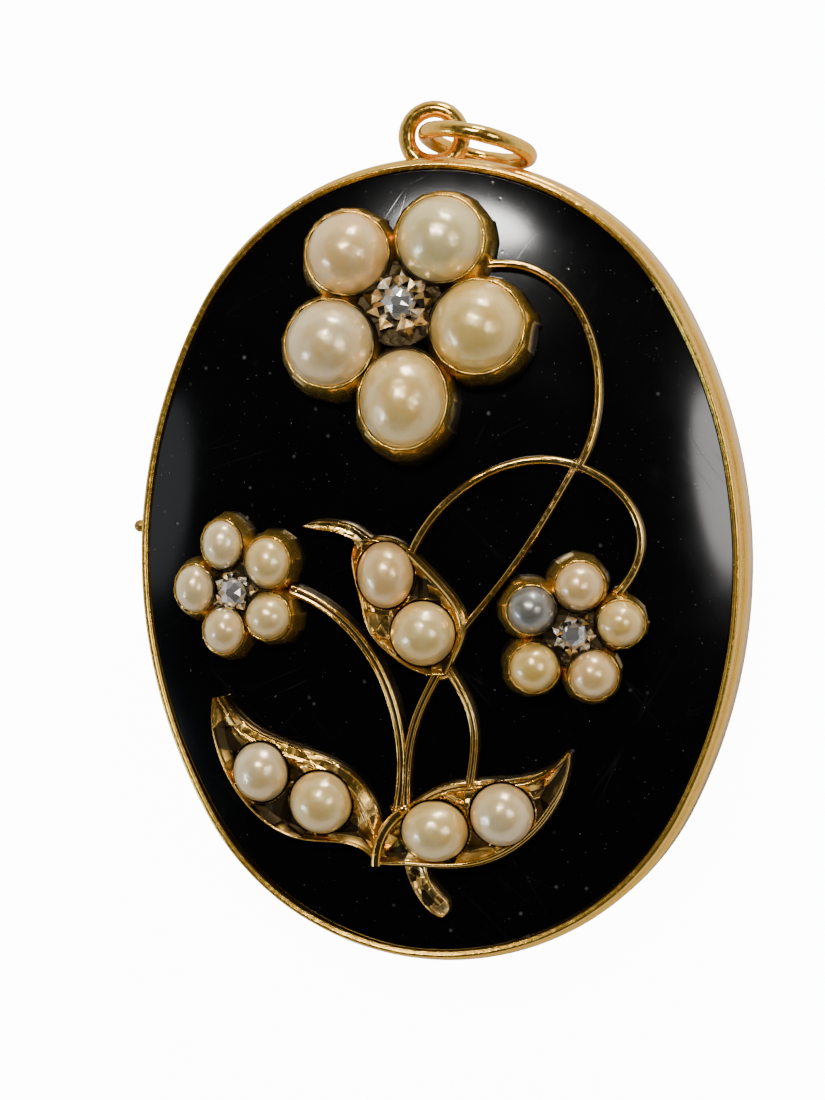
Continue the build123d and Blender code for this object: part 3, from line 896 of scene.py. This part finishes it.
def rose_cut(name, spot, seed):
    rng = np.random.default_rng(seed)
    wide = spot["wide"] * INSIDE
    tall = spot["tall"] - ROSE_GIRDLE
    # Columns: width share, height, turn
    tiers = ((0.98, OFF_BASE, 0.0), (1.0, ROSE_GIRDLE, 0.0),
             (0.72, ROSE_GIRDLE + tall * 0.52, math.pi / 8), (0.30, ROSE_GIRDLE + tall * 0.93, 0.0))
    rings = []
    for share, height, turn in tiers:
        reach = wide * share * rng.uniform(0.97, 1.0, 8)
        rings.append(ring_at(spot, around(8) + turn, reach, reach, height))
    faces = [list(range(8))[::-1]]
    faces += [[k, (k + 1) % 8, 8 + (k + 1) % 8, 8 + k] for k in range(8)]
    for low in (1, 2):
        shift = low - 1  # the second row's triangles start one corner further on
        for k in range(8):
            here, after = low * 8 + k, low * 8 + (k + 1) % 8
            above, beyond = (low * 8 + 8 + (k + shift + more) % 8 for more in (0, 1))
            faces += [[here, after, above], [after, beyond, above]]
    faces.append([24 + k for k in range(8)])
    return make_mesh(name + "_cut", rings, faces, flat=True)


diamond_pieces = {name: rose_cut(name, spot, 120 + place)
                  for place, (name, spot) in enumerate(diamonds.items())}
print(len(diamond_pieces), "rose cuts")

# %% [markdown]
# ## Leaves and bud
# A leaf was sawn from sheet, bent up at its edges and carved with a chisel before its pearls
# were set. It could be sculpted, but then nothing would tie it to the CAD part. Here a surface
# is stretched between the leaf's two edges, from stalk to tip. Its rim stands up and catches
# the light, flat chisel cuts break its sunk middle, and a thin collet stands round each pearl.

# %% Leaf shapes
# Each edge runs from stalk to tip; the bends are x, y in units of the spray. Then follow, for
# the first and second edge, the breadth of its rim and how far the rim falls outward, and last
# the height of the leaf and how deep its middle lies.
leaf_shapes = {
    "left": (
        ((-3.9, -17.5), (-4.9, -16.8), (-8.2, -16.4), (-12.5, -13.0), (-13.42, -7.95)),
        ((-3.5, -16.9), (-3.4, -15.3), (-4.9, -12.6), (-9.3, -10.6), (-12.85, -7.85)),
        (0.12, 0.80), (0.0, 0.50), 1.25, 0.50,
    ),
    "right": (
        ((-3.75, -17.85), (-1.2, -18.0), (2.6, -17.85), (6.6, -15.1), (8.1, -11.3)),
        ((-3.6, -17.3), (-3.45, -16.2), (-2.2, -14.8), (0.4, -13.2), (4.8, -12.8),
         (7.85, -11.15)),
        (0.30, 0.46), (0.0, 0.42), 1.25, 0.50,
    ),
    "bud": (
        ((0.95, -6.5), (1.75, -4.95), (2.08, -3.7), (0.78, -1.2), (-0.7, 0.35), (-2.08, 1.42),
         (-3.2, 1.6), (-4.2, 1.4)),
        ((0.6, -6.55), (-0.6, -6.45), (-2.35, -5.4), (-3.7, -3.9), (-4.2, -2.0), (-4.6, 0.6),
         (-4.4, 1.2)),
        (0.42, 0.14), (0.22, 0.0), 1.25, 0.45,
    ),
    "blade": (
        ((-3.4, 1.55), (-3.85, 1.85), (-4.49, 2.28), (-5.76, 2.60), (-7.0, 2.58), (-7.55, 2.36)),
        ((-4.3, 0.9), (-4.53, 1.40), (-5.0, 1.68), (-5.8, 1.94), (-7.1, 2.14), (-7.58, 2.26)),
        (0.30, 0.12), (0.30, 0.0), 1.18, 0.15,
    ),
    "stalk": (
        ((-2.2, -17.2), (-1.75, -19.0), (-0.95, -20.45), (-0.30, -21.0), (0.05, -21.1)),
        ((-0.5, -17.2), (-0.5, -18.9), (0.1, -19.75), (0.52, -20.3), (0.42, -20.85)),
        (0.20, 0.24), (0.10, 0.10), 0.92, 0.30,
    ),
}
leaf_stones = {
    "left": ("pearl_leaf_1", "pearl_leaf_2"), "right": ("pearl_leaf_3", "pearl_leaf_4"),
    "bud": ("pearl_bud_1", "pearl_bud_2"),
}


def smooth_line(bends, count):
    """A smooth cubic through the bends, evenly stepped along its length."""
    bends = np.array(bends, float) * unit
    knots = np.concatenate([[0], np.cumsum(np.linalg.norm(np.diff(bends, axis=0), axis=1))])
    n, step = len(bends), np.diff(knots)
    slope = np.diff(bends, axis=0) / step[:, None]
    system, right = np.zeros((n, n)), np.zeros((n, 2))
    right[1:-1] = 6 * np.diff(slope, axis=0)
    for k in range(1, n - 1):
        system[k, k - 1:k + 2] = step[k - 1], 2 * (step[k - 1] + step[k]), step[k]
    system[0, 0] = system[-1, -1] = 1
    if n > 3:
        system[0, :3] = step[1], -(step[0] + step[1]), step[0]
        system[-1, -3:] = step[-1], -(step[-2] + step[-1]), step[-2]
    curve = np.linalg.solve(system, right)
    fine = np.linspace(0, knots[-1], count)
    seg = np.clip(np.searchsorted(knots, fine, side="right") - 1, 0, n - 2)
    a = (knots[seg + 1] - fine) / step[seg]
    b = 1 - a
    bow = (step[seg] ** 2 / 6)[:, None]
    return (a[:, None] * bends[seg] + b[:, None] * bends[seg + 1]
            + ((a**3 - a)[:, None] * curve[seg] + (b**3 - b)[:, None] * curve[seg + 1]) * bow)


print(len(leaf_shapes), "leaf shapes")


# %% Chisel marks
def chisel_marks(x, y, count, steep, seed):
    """Flat cuts of one chisel: each patch of the surface tilts its own way."""
    rng = np.random.default_rng(seed)
    seeds_x = rng.uniform(x.min(), x.max(), count)
    seeds_y = rng.uniform(y.min(), y.max(), count)
    away = (x[..., None] - seeds_x) ** 2 + (y[..., None] - seeds_y) ** 2
    which = away.argmin(-1)
    slope_x, slope_y = rng.normal(0, steep, count)[which], rng.normal(0, steep, count)[which]
    lift = slope_x * (x - seeds_x[which]) + slope_y * (y - seeds_y[which])
    return np.clip(lift, -0.14, 0.14), rng.uniform(-1, 1, count)[which]


# %% Top of a leaf
CUTS, CUT_SLOPE = 34, 0.26
FULL_RIM_FROM, LEAST_RIM = 2.6, 0.42  # breadth at which the rim has its full share, and its least
FOLD_WIDTH, EDGE_LINE, BEAD_HEIGHT = 0.6, 0.08, 0.05
COLLET_OUT, COLLET_WIDTH, COLLET_DROP, SEAT = 0.10, 0.05, 0.30, 0.40


def leaf_surface(near, far, rims, falls, tall, deep, stones, seed):
    share = (1 - np.cos(np.linspace(0, math.pi, int(0.4 * len(near))))) / 2
    flat = near[:, None, :] * (1 - share)[None, :, None] + far[:, None, :] * share[None, :, None]
    breadth = np.linalg.norm(far - near, axis=1)[:, None]
    from_near, from_far = share[None, :] * breadth, (1 - share[None, :]) * breadth
    x, y = flat[..., 0], flat[..., 1]
    marks, tone = chisel_marks(x, y, CUTS, CUT_SLOPE, seed)
    # The rim: its breadth, its fall outwards, a fine bead along its inner side and light cuts
    edge = np.minimum(from_near, from_far)
    rim, fall = (np.where(from_near < from_far, *pair) for pair in (rims, falls))
    rim = rim * np.clip(breadth / FULL_RIM_FROM, LEAST_RIM, 1)
    inside = edge - rim
    on_bead = (inside < 0) & (edge > rim - 0.2)
    bead = np.clip(1 - (inside / np.minimum(rim, 0.2) + 0.5) ** 2 * 4, -1, 1) * on_bead
    outward = fall * np.clip(1 - edge / rim, 0, 1)
    on_rim = np.clip(edge / EDGE_LINE, 0, 1) * np.clip(-inside / EDGE_LINE, 0, 1) * 0.35
    # The sunk middle, with deeper cuts
    fold = np.clip(inside / FOLD_WIDTH, 0, 1)
    height = tall - 0.08 + BEAD_HEIGHT * bead - outward - deep * fold**0.7
    in_middle = deep * 2 * np.clip(inside / 0.15, 0, 1)
    height += marks * np.where(inside > 0, in_middle, np.where(fall > 0.3, on_rim, 0))
    # Painted light and shade: the far half is lighter than the near half; both darken inwards
    bright = np.where(from_far < from_near, 0.78, 0.34) + 0.35 * tone
    rim_wear = np.where(edge > rim - 0.14, 1.0, 0.75 + 0.2 * tone)
    wear_and_shade = np.where(inside < 0, rim_wear, np.clip(bright - 0.25 * fold, 0.05, 0.9))
    for spot in (pearls[stone] for stone in stones):
        dx, dy = x - (spot["base"][0] - centre_x), y - (spot["base"][1] - centre_y)
        gap = (np.sqrt((dx / spot["wide"]) ** 2 + (dy / spot["long"]) ** 2) - 1) * spot["wide"]
        wander = 0.02 * ripples(np.arctan2(dy, dx), seed + 9, 9, 5)
        collet = np.exp(-(((gap - COLLET_OUT - wander) / COLLET_WIDTH) ** 2))
        height = np.maximum(height, (tall - COLLET_DROP) * collet)
        height = np.where(gap < 0.05, np.minimum(height, SEAT), height)
        wear_and_shade = np.where((collet > 0.5) & (inside > 0.05), 0.55 + 0.3 * tone, wear_and_shade)
        wear_and_shade = np.where(gap < 0.05, 0.0, wear_and_shade)
    return flat, breadth, height, wear_and_shade


# %% Carve the leaves
def leaf_mesh(name, count, near_bends, far_bends, *look):
    near, far = smooth_line(near_bends, count), smooth_line(far_bends, count)
    flat, breadth, height, wear_and_shade = leaf_surface(near, far, *look)
    x, y = flat[..., 0], flat[..., 1]
    top = placed(x, y, dome(x, y) + height)
    # The foot is a little broader than the top, and the wall between them bulges
    outward = flat - flat.mean(axis=1, keepdims=True)
    outward = outward / np.maximum(np.linalg.norm(outward, axis=2, keepdims=True), 1e-6)
    low = flat + outward * 0.12 * np.clip(breadth / 1.5, 0, 1)[..., None]
    bottom = placed(low[..., 0], low[..., 1], dome(low[..., 0], low[..., 1]) + 0.04)
    belly = (top + bottom) / 2 + 0.15 * (bottom - top) * [1, 1, 0]
    bits = [make_mesh(name, top, grid_faces(*top.shape[:2]), wear_and_shade)]
    for side in (0, -1):
        wall = np.stack([bottom[:, side], belly[:, side], top[:, side]])
        shine = np.repeat([0.1, 0.6, 0.9], count)
        bits.append(make_mesh(name + "_wall", wall, grid_faces(3, count), shine))
    for tip in (0, -1):
        wall = np.stack([bottom[tip], belly[tip], top[tip]])
        shine = np.full(wall[..., 0].size, 0.6)
        bits.append(make_mesh(name + "_end", wall, grid_faces(*wall.shape[:2]), shine))
    return close_up(join(bits, name), crease=75)


leaves = {}
for place, (name, shape) in enumerate(leaf_shapes.items()):
    stones = leaf_stones.get(name, ())
    count = 300 if stones else 150
    leaves[name] = leaf_mesh("leaf_" + name, count, *shape, stones, 140 + place)
    print("leaf", name, len(leaves[name].data.polygons), "faces")

# %% [markdown]
# ## Stems
# A stem is a strip of sheet on edge, its top rounded by wear, and some have a groove cut along
# it. A round bevelled curve would look like wire. A tree sweeps a rounded bar along a path on
# the dome, narrower at the top than at the foot, and writes on the bar how worn its top is and,
# as painted shade, how dark its groove is by its depth. The thicker last strip is the ridge
# where the two leaves meet.

# %% Tree: stem strip
# The sweep turns the profile over: its lower side, at negative Y, becomes the top of the stem.
tree, given, end = shape_tree("stem strip", (
    ("Width", "Float", 0.0006), ("Height", "Float", 0.0009), ("Rounding", "Float", 0.0001),
    ("Groove", "Float", 0.00004), ("Wobble", "Float", 0.2), ("Seed", "Float", 1.0),
    ("Material", "Material", None)))
FOOT_SHARE, GROOVE_SIDE = 1.2, 0.26  # shares of the width
DULL_BELOW, BRIGHT_ABOVE = -0.15, -0.46  # shares of the height, from its middle
GROOVE_SHADE = 7000.0  # painted shade in the groove: value taken off for each metre of depth
bar = add(tree, "GeometryNodeCurvePrimitiveQuadrilateral", {
    "Offset": 0.0, "Top Width": maths(tree, "MULTIPLY", given["Width"], FOOT_SHARE),
    "Bottom Width": given["Width"], "Height": given["Height"]}, mode="TRAPEZOID")
rounded = add(tree, "GeometryNodeFilletCurve", {
    "Curve": bar, "Count": 5, "Radius": given["Rounding"], "Limit Radius": True}, mode="POLY")
fine_bar = add(tree, "GeometryNodeResampleCurve", {"Curve": rounded, "Count": 56}, mode="COUNT")
here_now = add(tree, "GeometryNodeInputPosition")
side, level, _ = add(tree, "SeparateXYZ", {0: here_now}).outputs
side_away = maths(tree, "ABSOLUTE", maths(tree, "DIVIDE", side, given["Width"]))
trough = add(tree, "MapRange", {
    "Value": side_away, "From Min": GROOVE_SIDE, "From Max": 0.0, "To Min": 0.0, "To Max": 1.0})
is_top = maths(tree, "LESS_THAN", level, 0.0)
dip = maths(tree, "MULTIPLY", trough, is_top)
down = maths(tree, "MULTIPLY", dip, given["Groove"])
lower = add(tree, "CombineXYZ", {"Y": down})
grooved = add(tree, "GeometryNodeSetPosition", {"Geometry": fine_bar, "Offset": lower})
worn_top = add(tree, "MapRange", {
    "Value": maths(tree, "DIVIDE", level, given["Height"]),
    "From Min": DULL_BELOW, "From Max": BRIGHT_ABOVE, "To Min": 0.30, "To Max": 1.0})
# Painted shade: the deeper the groove, the darker the stem there
shade = maths(tree, "MULTIPLY", down, GROOVE_SHADE, True)
kept = maths(tree, "SUBTRACT", worn_top, shade)
marked = add(tree, "GeometryNodeStoreNamedAttribute", {
    "Geometry": grooved, "Name": "wear_and_shade", "Value": kept}, data_type="FLOAT", domain="POINT")
path = add(tree, "GeometryNodeResampleCurve", {"Curve": given["Geometry"], "Count": 160},
           mode="COUNT")
upright = add(tree, "GeometryNodeSetCurveNormal", {"Curve": path}, mode="Z_UP")
uneven = add(tree, "TexNoise", {"W": given["Seed"], "Scale": 420.0, "Detail": 2.0},
             noise_dimensions="4D")
half_off = maths(tree, "ADD", uneven, -0.5)
sized = maths(tree, "ADD", maths(tree, "MULTIPLY", half_off, given["Wobble"]), 1.0)
strip = add(tree, "GeometryNodeCurveToMesh", {
    "Curve": upright, "Profile Curve": marked, "Scale": sized, "Fill Caps": True})
soft = add(tree, "GeometryNodeSetShadeSmooth", {"Geometry": strip})
finish_tree(tree, soft, given["Material"], end)
stem_tree = tree

# %% Draw the stems
# Columns: width, height, rounding, groove, then the bends as x, y in units of the spray
stem_lines = (
    (0.46, 0.90, 0.21, 0.00, (2.6, 17.4), (7.8, 16.1), (10.0, 10.6), (8.75, 5.5)),
    (0.46, 0.92, 0.21, 0.00, (-1.2, 0.4), (2.6, 4.8), (7.7, 5.9), (11.8, 3.2), (11.0, -1.9)),
    (0.38, 0.88, 0.17, 0.00, (8.55, 5.5), (5.0, -0.1), (1.6, -4.2)),
    (0.56, 0.92, 0.10, 0.16, (-8.4, -1.5), (-4.2, -4.6), (-2.5, -8.0), (-2.35, -14.7)),
    (0.50, 0.90, 0.10, 0.14, (0.5, -6.2), (-1.1, -9.4), (-1.85, -14.9)),
    (0.46, 0.92, 0.10, 0.12, (0.8, -6.0), (2.3, -9.2), (2.0, -13.3)),
    (0.56, 1.34, 0.27, 0.00, (-3.72, -17.85), (-3.52, -16.75), (-2.95, -15.60), (-2.05, -14.72)),
)


UNEVEN_WIDTH = 0.26


def stem_mesh(name, width, height, rounding, groove, bends, seed):
    line = smooth_line(bends, 60)
    path = bpy.data.curves.new(name + "_path", "CURVE")
    path.dimensions = "3D"
    spline = path.splines.new("POLY")
    spline.points.add(len(line) - 1)
    x, y = line.T
    spots = placed(x, y, dome(x, y) + height / 2) * MM
    spline.points.foreach_set("co", np.hstack([spots, np.ones((len(spots), 1))]).ravel())
    return grow(name, stem_tree, path, {
        "Width": width * unit * MM, "Height": height * MM, "Rounding": rounding * unit * MM,
        "Groove": groove * MM, "Wobble": UNEVEN_WIDTH, "Seed": float(seed), "Material": spray_gold})


stems = [stem_mesh("stem_" + str(place), *shape[:4], shape[4:], 20 + place)
         for place, shape in enumerate(stem_lines)]
print(len(stems), "stems of", len(stems[0].data.polygons), "faces")

# %% [markdown]
# ## Solder
# Where strips meet, solder has run into a small lump. Blending the strips' meshes into each
# other would need a new mesh for each joint. A low dome with an uneven outline covers the
# joint, and is bright on top and dull at its foot, as solder is.

# %% Solder at the joints
# Columns: x, y, half breadth across and along, height
solder_spots = (
    (8.65, 5.6, 0.50, 0.42, 0.86), (2.0, -13.15, 0.55, 0.34, 0.80), (-8.2, -1.65, 0.60, 0.45, 0.80),
    (0.6, -6.5, 0.75, 0.50, 0.75), (2.7, 17.3, 0.55, 0.45, 0.90), (-2.1, -14.6, 0.75, 0.50, 0.95),
    (11.0, -1.9, 0.45, 0.45, 0.85),
)


def solder_lump(name, x, y, across, along, height, seed):
    turn = around(48)
    uneven = 1 + 0.10 * ripples(turn, seed, 4, 2)
    rows, wear_and_shade = [], []
    for angle in np.linspace(0, math.pi / 2, 16):
        swell = math.cos(angle) * uneven
        px = x * unit + across * swell * np.cos(turn)
        py = y * unit + along * swell * np.sin(turn)
        rows.append(placed(px, py, dome(px, py) + 0.02 + height * math.sin(angle) ** 0.8))
        wear_and_shade.append(np.full(len(turn), 0.2 + 0.7 * math.sin(angle)))
    return ring_mesh(name, rows, wear_and_shade)


solder = [solder_lump("solder_" + str(place), *spot, 60 + place)
          for place, spot in enumerate(solder_spots)]

# %% [markdown]
# ## Give every piece its material and its body, and hide the CAD solids it replaces
# Each piece rides on the body that moves it. All but the loose ring ride on the brooch. Where
# a piece replaces a CAD solid, the plain solid is hidden. The spray is one solid in the CAD
# model and several pieces here, so one of them hides it. The pin keeps its solid, because it
# lies hidden behind the case.

# %% Dress the case, the stone and the spray
def dress(piece, material, slot, body, *nodes):
    piece.data.materials.clear()
    piece.data.materials.append(material)
    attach(piece, body)
    if nodes:
        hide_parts(*nodes)


dress(plate, rim_gold, "case_gold", "brooch")
dress(eye, wire_gold, "case_gold", "brooch")
dress(band, rim_gold, "case_gold", "brooch", "case")
dress(plaque, stone_black, "black_stone", "brooch", "plaque")
dress(jump_ring, wire_gold, "ring_gold", "jump_ring", "jump_ring")
dress(join(star_bits, "heart_stars"), star_metal, "antique_gold", "brooch")
dress(join(floor_bits + cups, "flower_cups"), cup_gold, "antique_gold", "brooch")
spray = join(stems + solder + [leaves["stalk"]], "flower_stems")
dress(spray, spray_gold, "antique_gold", "brooch", "spray")
bud = join([leaves["bud"], leaves["blade"]], "flower_bud")
for piece in (leaves["left"], leaves["right"], bud):
    dress(piece, spray_gold, "antique_gold", "brooch")
print("stems", len(spray.data.polygons), "faces, bud", len(bud.data.polygons), "faces")

# %% Dress the pearls, the rose cuts and the pin
tinted = {
    "pearl_green": ("pearl_big_2",), "pearl_golden": ("pearl_big_3", "pearl_right_4"),
    "pearl_grey": ("pearl_right_5",),
    "pearl_peach": ("pearl_big_1", "pearl_bud_1", "pearl_right_1", "pearl_right_3"),
    "pearl_pale": ("pearl_left_1", "pearl_left_4", "pearl_left_5", "pearl_leaf_1",
                   "pearl_leaf_4", "pearl_big_5"),
}
tint_of = {name: tint for tint, names in tinted.items() for name in names}
slot_of = {"pearl_grey": "grey_pearl", "pearl_golden": "golden_pearl"}
for name, piece in pearl_pieces.items():
    tint = tint_of.get(name, "pearl_cream")
    dress(piece, pearl_looks[tint], slot_of.get(tint, "cream_pearl"), "brooch", name)
for name, piece in diamond_pieces.items():
    dress(piece, diamond_cut, "diamond", "brooch", name)
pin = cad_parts["brooch_pin"]
pin.data.materials.clear()
pin.data.materials.append(wire_gold)

# %% [markdown]
# ## Camera
# The lens and place were solved from the oval in the photograph, whose outer and inner edges
# show how the piece is turned: a long lens, a little to the right of the face and a little
# above it. Moving a camera by eye would not find so small a turn.

# %% Camera
EYE_RIGHT, EYE_UP, ROLL = 0.16640, 0.04014, 0.01697
DISTANCE, AIM_X, AIM_Y = 320.0, -2.291, 0.474
FOCAL_PIXELS, PIXELS_HIGH, SENSOR = 5310.7, 1100.0, 36.0
turned = (Matrix.Rotation(ROLL, 3, "Z") @ Matrix.Rotation(EYE_UP, 3, "X")
          @ Matrix.Rotation(-EYE_RIGHT, 3, "Y"))
camera_data = bpy.data.cameras.new("camera")
camera_data.sensor_width = SENSOR
camera_data.lens = FOCAL_PIXELS / PIXELS_HIGH * SENSOR
camera_data.clip_start, camera_data.clip_end = 0.01, 5.0
camera = bpy.data.objects.new("camera", camera_data)
bpy.context.collection.objects.link(camera)
where = np.array(turned.transposed() @ Vector((AIM_X, AIM_Y, DISTANCE)))
where += (centre_x, centre_y, back_edge)
view = turned.transposed().to_4x4()
view.translation = where * MM
camera.matrix_world = view
bpy.context.scene.camera = camera
print("camera at", where.round(1), "mm")

# %% [markdown]
# ## Table and lights
# The brooch lies on white paper in a dim room. One big lamp would give each pearl one big
# highlight, but the pearls in the photograph show several small ones. They tell where the
# soft boxes stand: one far up, one up, one to the right, and a cool one low on the left. A
# faint fifth one makes the glow on the stone's left side.

# %% Table
REACH = 1500.0
table_corners = [(-REACH, -REACH, 0), (REACH, -REACH, 0), (REACH, REACH, 0), (-REACH, REACH, 0)]
table_top = make_mesh("table_top", table_corners, [(0, 1, 2, 3)], flat=True)
paper, tree, shader = new_material("white_paper", {
    "Base Color": (0.95, 0.95, 0.95, 1), "Roughness": 0.9, "Emission Color": (1, 1, 1, 1)})
PAPER_GLOW = 13.0  # seen by the camera alone, so it lights nothing
seen = add(tree, "LightPath").outputs["Is Camera Ray"]
feed(tree, shader, {"Emission Strength": maths(tree, "MULTIPLY", seen, PAPER_GLOW)})
table_top.data.materials.append(paper)
print("table", 2 * REACH * MM, "m wide")

# %% Lights
WARM = (1.0, 0.98, 0.95)
# Columns: name, direction x, y, z, distance, its two widths, turn, power, colour
soft_boxes = (
    ("far_box", 0.187, 0.932, 0.296, 0.55, 0.15, 0.15, 0.0, 1.8, WARM),
    ("top_box", -0.08, 0.440, 0.893, 0.55, 0.16, 0.056, -0.22, 1.55, WARM),
    ("right_box", 0.595, 0.085, 0.80, 0.55, 0.17, 0.20, 0.0, 0.66, WARM),
    ("cool_box", -0.83, -0.34, 0.44, 0.55, 0.13, 0.10, 0.0, 0.65, (0.60, 0.77, 1.0)),
    ("left_glow", -0.80, 0.06, 0.60, 0.56, 0.16, 0.24, 0.0, 0.065, (0.90, 0.95, 1.0)),
)
for name, x, y, z, away, width, length, turn, power, colour in soft_boxes:
    light_data = bpy.data.lights.new(name, "AREA")
    light_data.shape = "ELLIPSE"
    light_data.size, light_data.size_y = width, length
    light_data.energy = power
    light_data.color = colour
    light = bpy.data.objects.new(name, light_data)
    bpy.context.collection.objects.link(light)
    light.location = Vector((x, y, z)).normalized() * away
    light.rotation_mode = "QUATERNION"
    facing = light.location.to_track_quat("Z", "Y")
    light.rotation_quaternion = facing @ Quaternion((0, 0, 1), turn)
world = bpy.data.worlds.new("room")
world.use_nodes = True
room = world.node_tree
height = add(room, "SeparateXYZ", {0: add(room, "TexCoord").outputs["Generated"]}).outputs["Z"]
pale_wall = add(room, "MapRange", {
    "Value": height, "From Min": 0.10, "From Max": 0.55, "To Min": 0.95, "To Max": 0.015})
feed(room, room.nodes["Background"], {
    "Color": (0.95, 0.97, 1.0, 1), "Strength": pale_wall.outputs["Result"]})
bpy.context.scene.world = world
print("lights", len(soft_boxes))
